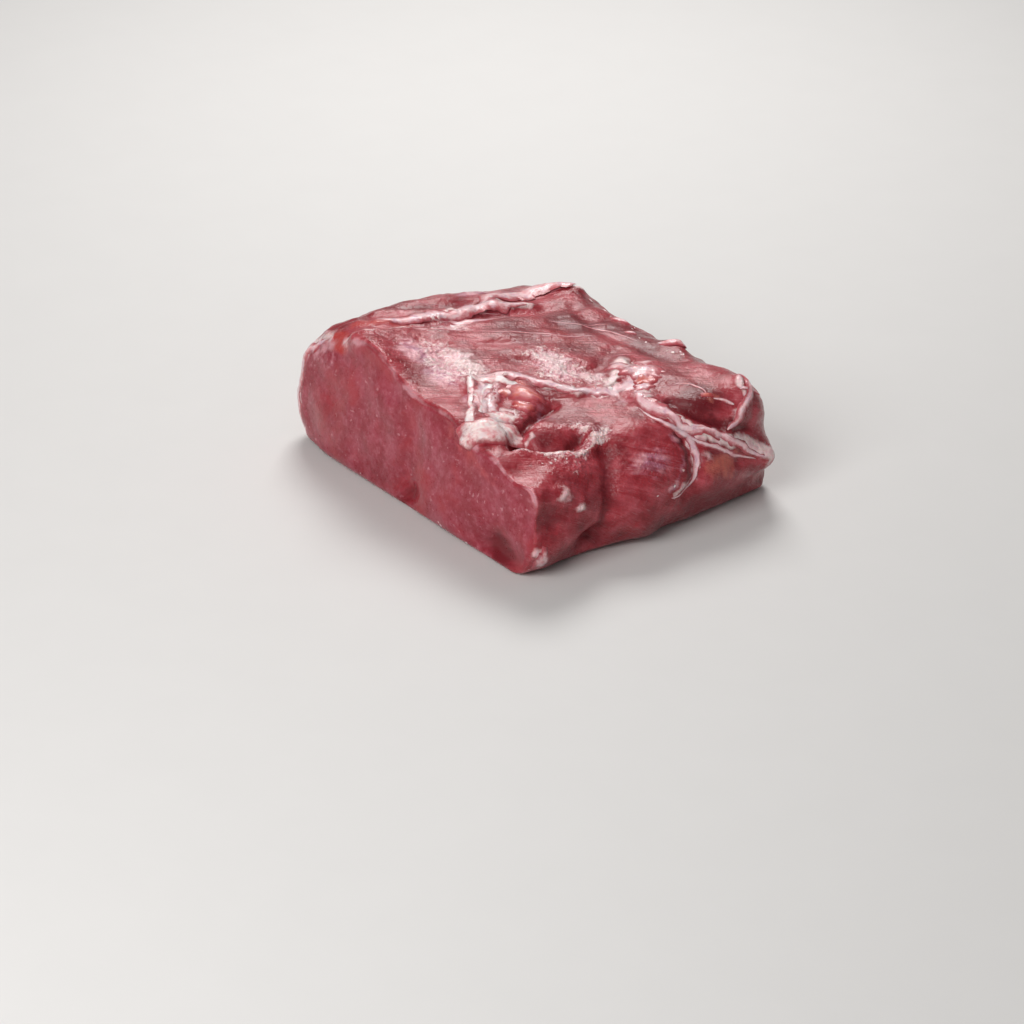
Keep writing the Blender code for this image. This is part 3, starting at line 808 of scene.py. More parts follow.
def pad(centre, half_long, half_wide, height, heading, rings, ragged, seed, sink=0.6, dome=1.2, lumps=0.32):
    """A pad of fat on the lean, all sizes in millimetres, heading in degrees from +X.

    It is a closed lens: rings grow from the top pole to the rim by a sine and shrink to the lower
    pole, the top is a power of a cosine, the under side is sunk in the lean, and noise tears the rim.
    """
    around = 2 * rings
    middle = np.array(centre, float) * MM + BLOCK_ZERO
    _, normal = lay_on_lean(middle[None])
    bearing = math.radians(heading)
    ahead = np.array([math.cos(bearing), math.sin(bearing), 0.0])
    ahead -= normal[0] * (ahead @ normal[0])
    ahead /= np.linalg.norm(ahead)
    side = np.cross(normal[0], ahead)
    polar = np.linspace(0, np.pi, rings + 2)[1:-1]
    turn = np.linspace(0, 2 * np.pi, around, endpoint=False)
    grid_polar = np.repeat(polar, around)
    grid_turn = np.tile(turn, rings)
    rim = np.stack([np.cos(grid_turn) * 1.7, np.sin(grid_turn) * 1.7, np.full(len(grid_turn), seed * 3.1)], 1)
    finer = ragged * (noise(rim, 1.0, seed) + 0.5 * noise(rim, 0.45, seed + 1))
    out = np.sin(grid_polar) ** 0.8 * (1 + finer)
    plan = (
        middle
        + ahead * (out * np.cos(grid_turn) * half_long * MM)[:, None]
        + side * (out * np.sin(grid_turn) * half_wide * MM)[:, None]
    )
    plan = np.concatenate([plan, [middle, middle]])
    feet, normals = lay_on_lean(plan)
    up = np.concatenate([np.cos(grid_polar), [1.0, -1.0]])
    plan_mm = plan * MM_IN_METRE
    bumps = 1 + lumps * noise(plan_mm, 3.8, seed + 5) + 0.08 * noise(plan_mm, 1.5, seed + 6)
    rise = np.where(up > 0, np.maximum(up, 0) ** dome * height * bumps, up * sink) * MM
    points = feet + normals * rise[:, None]
    flat = (plan - middle) @ np.stack([ahead, side], 1)
    grain = np.concatenate([flat, np.concatenate([np.sin(grid_polar), [0, 0]])[:, None]], 1)
    return points, tube_faces(rings, around), grain


def put(name, points, faces, material, attributes):
    """Adds a finished piece at the origin, smooth, with its attributes, riding on the joint."""
    mesh = bpy.data.meshes.new(name)
    mesh.from_pydata(points.tolist(), [], faces)
    for key, values in attributes.items():
        kind, field = ("FLOAT_VECTOR", "vector") if np.ndim(values) == 2 else ("FLOAT", "value")
        layer = mesh.attributes.new(key, kind, "POINT")
        layer.data.foreach_set(field, np.ascontiguousarray(values, np.float32).ravel())
    if mesh.validate():
        raise RuntimeError(f"The mesh of {name} has faulty faces")
    mesh.shade_smooth()
    mesh.materials.append(material)
    piece = bpy.data.objects.new(name, mesh)
    bpy.context.scene.collection.objects.link(piece)
    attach(piece, "root")
    return piece


def lay(name, shapes, material):
    """Adds several ribbons and pads as one trimming, with the grain coordinates that its finish reads."""
    points, quads, triangles, grain = [], [], [], []
    start = 0
    for shape_points, (shape_quads, shape_triangles), shape_grain in shapes:
        points.append(shape_points)
        quads.append(shape_quads + start)
        triangles.append(shape_triangles + start)
        grain.append(shape_grain)
        start += len(shape_points)
    faces = np.concatenate(quads).tolist() + np.concatenate(triangles).tolist()
    return put(name, np.concatenate(points), faces, material, {"grain": np.concatenate(grain)})


# --- Materials ---


class Sheet:
    """A material's node sheet with short calls for the nodes used here."""

    # Places of the colour sockets on the mix node
    UNDER, OVER, MIXED = 6, 7, 2

    def __init__(self, name):
        self.material = bpy.data.materials.new(name)
        self.material.use_nodes = True
        self.tree = self.material.node_tree
        self.shader = self.tree.nodes["Principled BSDF"]
        self.place = self.node("ShaderNodeTexCoord").outputs["Object"]
        self.tones = bpy.context.scene.meat_colours

    def node(self, kind, **settings):
        """Adds a node with its settings."""
        made = self.tree.nodes.new(kind)
        for key, value in settings.items():
            setattr(made, key, value)
        return made

    def feed(self, socket, value):
        """Links a socket to another one, or gives it a value."""
        if isinstance(value, bpy.types.NodeSocket):
            self.tree.links.new(value, socket)
        else:
            socket.default_value = value

    def amount(self, name):
        """A finish mask of the mesh."""
        return self.node("ShaderNodeAttribute", attribute_name=name).outputs["Fac"]

    def vector(self, name):
        """A vector attribute of the mesh."""
        return self.node("ShaderNodeAttribute", attribute_name=name).outputs["Vector"]

    def scaled(self, vector, scale):
        """A vector stretched along its axes."""
        made = self.node("ShaderNodeMapping")
        self.feed(made.inputs["Vector"], vector)
        made.inputs["Scale"].default_value = scale
        return made.outputs["Vector"]

    def noise(self, vector, scale, detail, rough, twist):
        """A noise texture node."""
        made = self.node("ShaderNodeTexNoise")
        self.feed(made.inputs["Vector"], vector)
        made.inputs["Scale"].default_value = scale
        made.inputs["Detail"].default_value = detail
        made.inputs["Roughness"].default_value = rough
        made.inputs["Distortion"].default_value = twist
        return made

    def clouds(self, vector, scale, detail=3.0, rough=0.55, twist=0.0):
        """Grey noise round 0.5."""
        return self.noise(vector, scale, detail, rough, twist).outputs["Fac"]

    def stirred(self, vector, scale, reach):
        """A vector pushed about by coloured noise, so that a regular pattern on it turns uneven."""
        push = self.node("ShaderNodeVectorMath", operation="MULTIPLY_ADD")
        self.feed(push.inputs[0], self.noise(vector, scale, 3.0, 0.5, 0.0).outputs["Color"])
        push.inputs[1].default_value = (reach, reach, reach)
        self.feed(push.inputs[2], vector)
        return push.outputs[0]

    def cells(self, vector, scale, feature="F1"):
        """Distances in a pattern of uneven cells."""
        made = self.node("ShaderNodeTexVoronoi", feature=feature)
        self.feed(made.inputs["Vector"], vector)
        made.inputs["Scale"].default_value = scale
        return made.outputs["Distance"]

    def ramp(self, value, low, high, start=0.0, end=1.0):
        """A smooth step from one value to another while the input runs from low to high."""
        made = self.node("ShaderNodeMapRange", interpolation_type="SMOOTHSTEP")
        self.feed(made.inputs["Value"], value)
        made.inputs["From Min"].default_value = low
        made.inputs["From Max"].default_value = high
        made.inputs["To Min"].default_value = start
        made.inputs["To Max"].default_value = end
        return made.outputs["Result"]

    def reckon(self, operation, values):
        """Several values added or multiplied together."""
        total = values[0]
        for value in values[1:]:
            made = self.node("ShaderNodeMath", operation=operation)
            self.feed(made.inputs[0], total)
            self.feed(made.inputs[1], value)
            total = made.outputs[0]
        return total

    def sum(self, *values):
        return self.reckon("ADD", values)

    def times(self, *values):
        return self.reckon("MULTIPLY", values)

    def mixed(self, *pairs):
        """Values added up by their shares, from pairs of a value and its share."""
        return self.sum(*(self.times(value, share) for value, share in pairs))

    def blend(self, amount, under, over):
        """One colour laid over another by an amount; a colour of three values is made opaque."""
        made = self.node("ShaderNodeMix", data_type="RGBA")
        self.feed(made.inputs["Factor"], amount)
        for place, tone in ((self.UNDER, under), (self.OVER, over)):
            linked = isinstance(tone, bpy.types.NodeSocket)
            self.feed(made.inputs[place], tone if linked else (*tone, 1.0))
        return made.outputs[self.MIXED]

    def layers(self, colour_now, *rows):
        """A colour with others laid over it; a row is a value, its start and end, a share and a colour."""
        for value, low, high, share, tone in rows:
            colour_now = self.blend(self.ramp(value, low, high, 0.0, share), colour_now, tone)
        return colour_now

    def ragged(self, mask, grain, low, high, weight):
        """A mask whose border is torn by the grain: mask plus weighted grain, through a smooth step."""
        shifted = self.sum(mask, self.times(self.sum(grain, -0.5), weight))
        return self.ramp(shifted, low, high)

    def bump(self, height, distance):
        """Normals tilted by a height, whose whole range stands for a distance in metres."""
        made = self.node("ShaderNodeBump")
        made.inputs["Distance"].default_value = distance
        made.inputs["Strength"].default_value = 1.0
        self.feed(made.inputs["Height"], height)
        return made.outputs["Normal"]

    def wet(self, coat, coat_roughness, soft, radius):
        """Constant wet film and light under the skin, on the shader's own sockets."""
        constants = {
            "Specular IOR Level": 0.20,
            "Coat Weight": coat,
            "Coat IOR": 1.38,
            "Coat Roughness": coat_roughness,
            "Subsurface Weight": soft,
            "Subsurface Scale": 0.0035,
            "Subsurface Radius": radius,
        }
        for name, value in constants.items():
            self.shader.inputs[name].default_value = value


def wet_lean():
    """Raw lean: fibre streaks, knife cut, dark muscle with painted shade in creases, amber film, silverskin,
    crumbly film with painted sheen, and fat.
    """
    s = Sheet("wet_lean")
    tones = s.tones
    fibre = s.vector("fibre")
    streaks = s.clouds(s.scaled(fibre, (40.0, 420.0, 240.0)), 1.0, 4.0, 0.6)
    fine_streaks = s.clouds(s.scaled(fibre, (110.0, 1300.0, 500.0)), 1.0, rough=0.6)
    patches = s.clouds(s.place, 42.0)
    clots = s.clouds(s.place, 105.0, twist=0.4)
    mottle = s.clouds(s.place, 260.0, 4.0, 0.6)
    specks = s.clouds(s.place, 900.0, rough=0.6)

    streaky = s.ramp(s.mixed((streaks, 0.40), (clots, 0.60)), 0.40, 0.66)
    lean = s.layers(
        s.blend(streaky, tones.lean, tones.lean_pale),
        (patches, 0.56, 0.38, 0.55, tones.deep_lean_and_shade),
        (clots, 0.44, 0.28, 0.45, tones.deep_lean_and_shade),
        (fine_streaks, 0.58, 0.78, 0.22, tones.silverskin),
        (specks, 0.62, 0.78, 0.28, tones.silverskin),
    )

    # Knife cut: small muscle bundles end on, with pale marbling and upright drag marks
    uneven = s.stirred(s.place, 260.0, 0.0060)
    bundles = s.cells(s.scaled(uneven, (330.0, 330.0, 250.0)), 1.0, "DISTANCE_TO_EDGE")
    seams = s.times(s.ramp(bundles, 0.30, 0.0), s.ramp(mottle, 0.44, 0.66), 0.09)
    drag = s.clouds(s.scaled(s.place, (70.0, 60.0, 42.0)), 1.0, 4.0)
    flecks = s.clouds(s.place, 300.0, 2.0, 0.5)
    marbled = s.ramp(s.mixed((mottle, 0.4), (drag, 0.6)), 0.40, 0.62)
    cut = s.layers(
        s.blend(seams, s.blend(marbled, tones.cut, tones.cut_pale), tones.silverskin),
        (flecks, 0.66, 0.74, 0.30, tones.silverskin),
        (specks, 0.70, 0.80, 0.35, tones.fat),
        (patches, 0.48, 0.70, 0.65, tones.cut_red),
        (clots, 0.40, 0.26, 0.22, tones.deep_lean_and_shade),
    )

    # Finishes over the muscle; the film is lilac where it lies over dark muscle. The dark mask is partly
    # painted shade, and the crumb, film and fat masks hold some painted sheen.
    film_tone = s.blend(s.ramp(clots, 0.42, 0.58), tones.lilac, tones.silverskin)
    crumb_and_sheen_tone = s.blend(s.ramp(mottle, 0.46, 0.60), tones.silverskin, tones.fat)
    film_grain = s.mixed((streaks, 0.5), (clots, 0.5))
    crumb_grain = s.mixed((mottle, 0.5), (specks, 0.5))
    edge_grain = s.mixed((mottle, 0.5), (clots, 0.5))
    fat_grain = s.mixed((mottle, 0.4), (streaks, 0.2), (clots, 0.4))
    fat_tone = s.layers(tones.fat, (edge_grain, 0.42, 0.62, 0.75, tones.silverskin))
    finishes = (
        # Mask, grain of its border, where the border starts and ends, how torn it is, share and colour
        # Darker muscle, and painted shade in creases, hollows and along the foot
        ("dark", streaks, 0.20, 0.80, 0.5, 1.00, tones.deep_lean_and_shade),
        ("red", mottle, 0.30, 0.80, 0.6, 1.00, tones.red),
        ("amber", mottle, 0.30, 0.85, 0.7, 1.00, tones.amber),
        ("silver", film_grain, 0.42, 1.00, 1.4, 0.80, film_tone),
        # Crumbly film, and painted sheen on the shining middle of the top
        ("frost_and_sheen", crumb_grain, 0.42, 0.86, 1.9, 0.74, crumb_and_sheen_tone),
        ("edge", edge_grain, 0.34, 0.90, 1.5, 0.62, tones.silverskin),
        ("fat", fat_grain, 0.36, 0.84, 1.5, 0.90, fat_tone),
    )
    colour_now = s.blend(s.amount("cut"), lean, cut)
    shown = {}
    for name, grain, low, high, torn, share, tone in finishes:
        shown[name] = s.ragged(s.amount(name), grain, low, high, torn)
        colour_now = s.blend(s.times(shown[name], share), colour_now, tone)
    s.feed(s.shader.inputs["Base Color"], colour_now)
    s.feed(s.shader.inputs["Roughness"], s.ramp(crumb_grain, 0.35, 0.65, 0.26, 0.46))

    height = s.sum(
        s.mixed((streaks, 0.55), (fine_streaks, 0.34), (mottle, 0.7), (clots, 0.9), (specks, 0.22)),
        s.times(s.amount("frost_and_sheen"), s.cells(s.place, 480.0), 1.4),
        s.mixed((shown["fat"], 0.6), (shown["silver"], 0.25)),
    )
    calm = s.ramp(s.amount("cut"), 0.0, 1.0, 1.0, 0.20)
    film_height = s.sum(mottle, s.times(specks, 0.3))
    s.feed(s.shader.inputs["Normal"], s.bump(s.times(height, calm), 0.0010))
    s.feed(s.shader.inputs["Coat Normal"], s.bump(s.times(film_height, calm), 0.0007))
    s.wet(coat=0.55, coat_roughness=0.10, soft=0.28, radius=(1.0, 0.28, 0.20))
    return s.material


def trimming(name, pale, dull, thin, lanes, radius, coat=0.45, pale_share=0.44, bare=(0.20, 0.84), worn=0.60):
    """A trimming: pale strings or lobules, duller gaps, and a thin torn rim where the lean shows through.

    pale, dull and thin name colours.  lanes is the fineness of the strings, radius how far red, green and
    blue light go under the skin, bare where the rim fades out, and worn the share of the thin places.
    """
    if name in bpy.data.materials:
        return bpy.data.materials[name]
    s = Sheet(name)
    tones = s.tones
    grain = s.vector("grain")
    strings = s.clouds(s.scaled(grain, (90.0, lanes, 1.0)), 1.0, 4.0, 0.6)
    lobes = s.clouds(s.place, 190.0, twist=0.3)
    mottle = s.clouds(s.place, 420.0, 4.0, 0.6)
    specks = s.clouds(s.place, 1100.0)
    mixed = s.mixed((strings, 0.45), (lobes, 0.35), (mottle, 0.20))
    tone = s.layers(
        s.blend(s.ramp(mixed, pale_share, pale_share + 0.16), getattr(tones, pale), getattr(tones, dull)),
        (lobes, 0.48, 0.30, worn, getattr(tones, thin)),
        (strings, 0.46, 0.34, 0.75 * worn, tones.lean_pale),
    )
    under = s.blend(s.ramp(lobes, 0.35, 0.65), tones.lean, tones.lean_pale)
    split = s.node("ShaderNodeSeparateXYZ")
    s.feed(split.inputs[0], grain)
    rim = s.ragged(split.outputs["Z"], s.mixed((mottle, 0.5), (lobes, 0.5)), *bare, 1.3)
    s.feed(s.shader.inputs["Base Color"], s.blend(s.times(rim, 0.95), tone, under))
    s.feed(s.shader.inputs["Roughness"], s.ramp(specks, 0.35, 0.65, 0.28, 0.50))
    height = s.mixed((strings, 0.40), (lobes, 0.6), (mottle, 0.4), (specks, 0.2))
    s.feed(s.shader.inputs["Normal"], s.bump(height, 0.0007))
    s.wet(coat=coat, coat_roughness=0.11, soft=0.38, radius=radius)
    return s.material


def wet_fat():
    """Raw fat: creamy white lobules, pinker where thin."""
    return trimming("wet_fat", "fat", "fat_pink", "lilac", 260.0, (1.0, 0.55, 0.45), pale_share=0.46,
                    bare=(0.36, 0.98), worn=0.25)


def pink_fat():
    """Thin fat over muscle: pale pink lobules with lilac and lean showing through."""
    return trimming("pink_fat", "tendon", "fat_pink", "lilac", 260.0, (1.0, 0.50, 0.42))


def wet_tendon():
    """Tendon: whitish strings with lilac gaps."""
    return trimming("wet_tendon", "tendon", "silverskin", "lilac", 900.0, (1.0, 0.50, 0.45))


def wet_silverskin():
    """Silverskin: a thin pink film with white strings and lilac patches."""
    return trimming("wet_silverskin", "tendon", "fat_pink", "lilac", 600.0, (1.0, 0.50, 0.45))


def pink_thread():
    """Threads of film: pink where they are thin, paler where they thicken."""
    return trimming("pink_thread", "silverskin", "fat_pink", "lean_pale", 600.0, (1.0, 0.45, 0.40), coat=0.40)


def amber_fat():
    """Soft fat that is stained orange by the muscle under it."""
    return trimming("amber_fat", "amber", "fat_pink", "lean", 260.0, (1.0, 0.40, 0.25), coat=0.60)


# --- Operators ---


class MEAT_OT_lean(Operator):
    """Lays the fine lean over the solid: block, folds, fibre, film and the amounts of each finish"""

    bl_idname = "meat.lean"
    bl_label = "Lean"

    def execute(self, context):
        make_lean(context.scene.meat_sizes)
        attributes = {**Lean.finish, "fibre": Lean.fibre}
        piece = put("lean_with_cut_face", Lean.points, Lean.faces.tolist(), wet_lean(), attributes)
        on_floor = np.all(Lean.points[:, 2][Lean.faces] < ON_FLOOR, axis=1)
        under = bmesh.new()
        under.from_mesh(piece.data)
        under.faces.ensure_lookup_table()
        flat = [under.faces[i] for i in np.flatnonzero(on_floor).tolist()]
        bmesh.ops.dissolve_faces(under, faces=flat)
        under.to_mesh(piece.data)
        under.free()
        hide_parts(NODE)
        return {"FINISHED"}


# The trimmings' shapes are in millimetres on the block.  A pad is given by its centre, half length, half
# width, height, heading, rings, raggedness and seed; a ribbon by its points, half widths and half heights.


class MEAT_OT_edge_fat(Operator):
    """Adds the white fat lump on the cut's upper edge: the lump, its bright top and two flat lips"""

    bl_idname = "meat.edge_fat"
    bl_label = "Edge fat"

    def execute(self, context):
        high = context.scene.meat_sizes.lump_height / MM
        shapes = [
            pad((48, -56, 61), 11, 9.0, high * 0.40, 40, 24, 0.22, 3, dome=1.7),
            pad((44.5, -68, 60), 14.0, 9.0, high * 0.66, 44, 30, 0.26, 6, dome=1.3, lumps=0.26),
            pad((42, -70, 61), 8.0, 6.0, high * 0.36, 46, 22, 0.20, 4, lumps=0.14),
            pad((38, -53, 63), 10, 6.5, high * 0.26, 70, 20, 0.34, 7, dome=1.9),
        ]
        lay("edge_fat_lump", shapes, wet_fat())
        return {"FINISHED"}


class MEAT_OT_fat_pads(Operator):
    """Adds the thin fat over the tendon's root, on the back edge, at the low corner, the left and the back"""

    bl_idname = "meat.fat_pads"
    bl_label = "Fat pads"

    def execute(self, context):
        left = [(-108, -34, 64), (-114, -24, 54), (-116, -10, 44), (-116, 6, 40)]
        back = [(-70, 86, 54), (-48, 89, 46), (-24, 91, 44), (-4, 91, 50)]
        shapes = [
            pad((46, 37, 65), 13, 9, 1.3, 60, 24, 0.40, 21, dome=1.9),
            pad((35, 32, 65), 8, 5.5, 1.0, 20, 16, 0.40, 22, dome=1.9),
            pad((57, 30, 63), 6.5, 5.0, 1.0, 70, 16, 0.40, 23, dome=1.9),
            pad((38, 46, 65), 6, 3.5, 0.8, 80, 14, 0.40, 24, dome=1.9),
            pad((-14, 74, 64), 7, 2.5, 1.4, 10, 14, 0.35, 28, dome=1.8),
            pad((3, 67, 64), 4, 2.0, 0.9, 30, 12, 0.35, 29, dome=1.8),
            pad((104, -76, 6), 4, 3.0, 0.8, 60, 14, 0.30, 31, dome=1.8),
            # Tall pale stroke at the low corner: fat, partly a painted highlight
            pad((102, -75, 14), 4.5, 9.0, 0.8, 90, 18, 0.45, 32, dome=2.0),
            ribbon(left, (3.0, 6.0, 5.0, 2.4), (0.25, 0.45, 0.4, 0.25), ragged=0.5, seed=33),
            ribbon(back, (2.4, 5.0, 6.0, 2.6), (0.25, 0.4, 0.45, 0.25), ragged=0.5, seed=34),
            pad((44, 88, 46), 14, 7.0, 0.8, 10, 18, 0.45, 35, dome=2.0),
            pad((62, 86, 22), 7, 5.0, 0.7, 0, 14, 0.45, 36, dome=2.0),
            pad((-113, 44, 44), 13, 7.0, 0.8, 80, 18, 0.45, 37, dome=2.0),
        ]
        lay("fat_pads", shapes, pink_fat())
        return {"FINISHED"}


class MEAT_OT_amber_pads(Operator):
    """Adds the orange lumps of soft fat beside the web, in the white patch and on the dark muscle"""

    bl_idname = "meat.amber_pads"
    bl_label = "Amber pads"

    def execute(self, context):
        shapes = [
            pad((27, -28, 64), 11.5, 6.5, 1.2, 25, 22, 0.34, 41, dome=1.8),
            pad((35, -35, 63), 7.5, 4.6, 1.2, 40, 18, 0.30, 42, dome=1.7),
            pad((20, -34, 65), 6.0, 4.4, 0.8, 60, 16, 0.32, 43, dome=1.8),
            pad((53, 34, 64), 7.5, 5.5, 1.3, 70, 18, 0.30, 44, dome=1.7),
            pad((84, 51, 62), 4.0, 1.7, 0.5, 60, 12, 0.30, 45, dome=1.8),
        ]
        lay("amber_pads", shapes, amber_fat())
        return {"FINISHED"}


class MEAT_OT_web(Operator):
    """Adds the web from the middle tendon down to the fat lump: torn film, and white strands over it"""

    bl_idname = "meat.web"
    bl_label = "Web"

    def execute(self, context):
        film = [
            ([(2, -39, 68), (11, -45, 67), (21, -53, 66), (32, -62, 64)],
             (3.0, 5.6, 5.6, 5.0), (0.2, 0.35, 0.35, 0.4), 0.4),
            ([(14, -36, 67), (22, -44, 65), (31, -52, 64), (38, -59, 62)],
             (2.0, 4.0, 4.4, 4.0), (0.2, 0.3, 0.3, 0.3), 0.5),
        ]
        strands = [
            ([(-2, -42, 69), (6, -47, 67), (18, -56, 66), (29, -66, 65), (37, -73, 63)],
             (4.0, 2.2, 1.7, 2.6, 4.4), (0.5, 0.8, 0.8, 0.8, 0.8)),
            ([(9, -37, 67), (13, -45, 66), (22, -54, 65), (32, -63, 64)],
             (3.0, 1.4, 1.1, 3.4), (0.4, 0.5, 0.5, 0.7)),
            ([(-7, -45, 69), (0, -40, 68), (8, -33, 67), (18, -25, 66)],
             (1.6, 3.6, 4.0, 2.4), (0.3, 0.5, 0.5, 0.3)),
        ]
        film_shapes = [
            ribbon(line, wide, high, ragged=torn, strings=0.9, seed=26 + i)
            for i, (line, wide, high, torn) in enumerate(film)
        ]
        strand_shapes = [
            ribbon(line, wide, high, ragged=0.2, seed=20 + i)
            for i, (line, wide, high) in enumerate(strands)
        ]
        lay("web_film", film_shapes, wet_silverskin())
        lay("web_strands", strand_shapes, wet_fat())
        return {"FINISHED"}


class MEAT_OT_tendons(Operator):
    """Adds the tendon ridge of the middle, the tendon band on the right and its branch round the lobe"""

    bl_idname = "meat.tendons"
    bl_label = "Tendons"

    def execute(self, context):
        cords = [
            ([(2, -34, 67), (11, -23, 67), (23, -14, 66), (34, -7, 65), (45, 2, 63)],
             (2.4, 5.0, 4.2, 5.2, 4.0), (0.3, 0.6, 0.5, 0.6, 0.4)),
            ([(36, -6, 64), (46, 4, 63), (51, 13, 63), (50, 24, 64), (47, 33, 65)],
             (3.0, 5.0, 5.2, 5.4, 4.0), (0.4, 0.7, 0.7, 0.7, 0.5)),
            ([(56, 24, 63), (68, 20, 61), (82, 23, 58), (90, 28, 54), (96, 36, 51), (101, 46, 46),
              (104, 58, 39), (105, 74, 28)],
             (2.0, 4.2, 4.4, 3.8, 3.2, 2.8, 3.0, 2.4), (0.4, 0.8, 1.0, 1.0, 0.9, 0.8, 0.9, 0.8)),
            ([(70, 15, 61), (82, 17, 58), (91, 23, 54), (98, 31, 48), (103, 42, 42), (105, 54, 35),
              (105, 68, 29)],
             (0.8, 1.7, 2.2, 1.9, 1.8, 1.7, 0.9), (0.4, 0.6, 0.8, 0.8, 0.7, 0.7, 0.5)),
            ([(92, 28, 53), (99, 28, 48), (104, 27, 41), (107, 24, 32), (107, 17, 26), (107, 6, 26)],
             (2.0, 2.6, 2.1, 1.8, 1.4, 0.8), (0.7, 0.8, 0.7, 0.6, 0.5, 0.4)),
        ]
        shapes = [
            ribbon(line, wide, high, rings=110, around=24, ragged=0.5, strings=0.9, seed=40 + i)
            for i, (line, wide, high) in enumerate(cords)
        ]
        lay("tendon_cords", shapes, wet_tendon())
        return {"FINISHED"}


class MEAT_OT_silverskin(Operator):
    """Adds the silverskin at the back, on the ridges, on the rear and right edges and beside the cut"""

    bl_idname = "meat.silverskin"
    bl_label = "Silverskin"

    def execute(self, context):
        # Points, half widths, half heights, and how many millimetres each stretch lifts off the lean
        flaps = [
            ([(-62, 8, 73), (-68, 26, 71), (-73, 45, 69), (-70, 62, 66), (-57, 76, 65)],
             (2.4, 6.5, 7.5, 7.5, 6.0), (0.3, 0.6, 0.8, 0.9, 0.8), (0.0, 0.0, 0.2, 0.7, 1.2)),
            ([(-75, -52, 78), (-66, -32, 76), (-60, -14, 75), (-61, 4, 74), (-60, 22, 71), (-54, 42, 68)],
             (2.4, 5.2, 5.4, 6.4, 6.0, 2.6), (0.3, 0.6, 0.7, 0.8, 0.7, 0.3), (0.0,)),
            ([(-66, -24, 76), (-53, -10, 74), (-50, 8, 72), (-46, 26, 70)],
             (1.2, 2.4, 2.6, 1.2), (0.2, 0.4, 0.4, 0.2), (0.0,)),
            ([(22, 70, 65), (27, 73, 64), (31, 77, 63), (34, 80, 62)],
             (1.6, 3.0, 3.4, 2.2), (0.5, 1.0, 1.1, 0.8), (0.0, 0.2, 0.6, 0.9)),
            ([(80, 76, 64), (89, 73, 62), (96, 68, 58), (99, 61, 53), (101, 51, 48)],
             (1.6, 2.8, 2.4, 2.8, 1.6), (0.6, 1.0, 0.9, 1.0, 0.7), (0.1, 0.5, 0.4, 0.4, 0.0)),
            ([(90, 70, 61), (93, 76, 60), (96, 81, 59)], (1.4, 1.3, 0.6), (0.7, 0.6, 0.4), (0.2, 0.8, 1.5)),
            ([(94, 62, 57), (90, 58, 60), (87, 53, 61)], (1.2, 1.4, 0.7), (0.6, 0.7, 0.4), (0.0,)),
            ([(-94, -72, 66), (-105, -75, 56), (-110, -77, 40), (-110, -77, 24), (-104, -76, 8)],
             (2.4, 5.0, 6.0, 5.5, 2.4), (0.3, 0.55, 0.6, 0.55, 0.3), (0.0,)),
        ]
        shapes = [
            ribbon(line, wide, high, lift, rings=90, around=24, ragged=0.3, strings=0.6, seed=60 + i)
            for i, (line, wide, high, lift) in enumerate(flaps)
        ]
        lay("silverskin_flaps", shapes, wet_silverskin())
        return {"FINISHED"}


class MEAT_OT_threads(Operator):
    """Adds the thin pale threads of film that lie along the muscle fibre"""

    bl_idname = "meat.threads"
    bl_label = "Threads"

    def execute(self, context):
        placed = [
            [(-38, -8, 73), (-24, 12, 71), (-10, 30, 69), (-2, 47, 67)],
            [(-58, -40, 77), (-48, -24, 75), (-40, -8, 73)],
            [(66, 42, 64), (71, 49, 65), (80, 52, 63), (86, 50, 60)],
            [(-30, 36, 70), (-18, 48, 68), (-2, 58, 66), (14, 62, 66)],
        ]
        thin = (0.15, 0.3, 0.15)
        shapes = [ribbon(line, (0.4, 0.8, 0.4), thin, around=8, seed=80 + i) for i, line in enumerate(placed)]
        draw = np.random.default_rng(7)
        for i in range(9):
            x = draw.uniform(-85, 20)
            y = draw.uniform(-40, 60)
            run = draw.uniform(8, 20)
            ahead = np.array([FIBRE_Y, -(2 * FIBRE_BEND * x + FIBRE_X), 0.0])
            ahead /= np.linalg.norm(ahead)
            start = np.array([x, y, 70.0])
            wide = draw.uniform(0.3, 0.6)
            line = [start, start + ahead * run / 2, start + ahead * run]
            widths = (wide * 0.6, wide, wide * 0.5)
            shapes.append(ribbon(line, widths, thin, rings=24, around=8, seed=120 + i))
        lay("film_threads", shapes, pink_thread())
        return {"FINISHED"}


class MEAT_OT_flecks(Operator):
    """Scatters small flecks and crumbs of fat where the trimming knife left them"""

    bl_idname = "meat.flecks"
    bl_label = "Flecks"

    def execute(self, context):
        # Share of the flecks, centre and spread of each place, in millimetres, then the flecks' half length
        places = [
            (0.16, (46, 34, 66), (15, 12, 1), 1.8),
            (0.12, (20, 0, 68), (22, 13, 1), 1.2),
            (0.10, (-18, 74, 64), (16, 4, 1), 1.6),
            (0.08, (30, 68, 66), (20, 6, 1), 1.4),
            (0.03, (104, 4, 32), (1, 16, 5), 1.0),
            (0.08, (76, -50, 55), (8, 8, 1), 1.2),
            (0.07, (20, -82, 3), (60, 1, 2), 1.2),
        ]
        lowest = 2.0
        draw = np.random.default_rng(19)
        shapes = []
        for share, centre, spread, size in places:
            for _ in range(round(share * context.scene.meat_sizes.flecks)):
                spot = np.array(centre) + draw.normal(0, 0.6, 3) * spread
                spot[2] = max(spot[2], lowest)
                long = size * draw.uniform(0.5, 1.2)
                wide = long * draw.uniform(0.4, 0.8)
                heading = draw.uniform(0, 180)
                seed = int(draw.integers(1, 90))
                shapes.append(pad(spot, long, wide, long * 0.22, heading, 6, 0.4, seed, sink=0.3))
        lay("fat_flecks", shapes, wet_fat())
        return {"FINISHED"}


def aimed(name, data, place, target):
    """Adds a camera or light at a place, its -Z axis towards the target and its Y axis up."""
    thing = bpy.data.objects.new(name, data)
    thing.location = place
    thing.rotation_mode = "QUATERNION"
    thing.rotation_quaternion = (Vector(target) - Vector(place)).to_track_quat("-Z", "Y")
    bpy.context.scene.collection.objects.link(thing)
    return thing


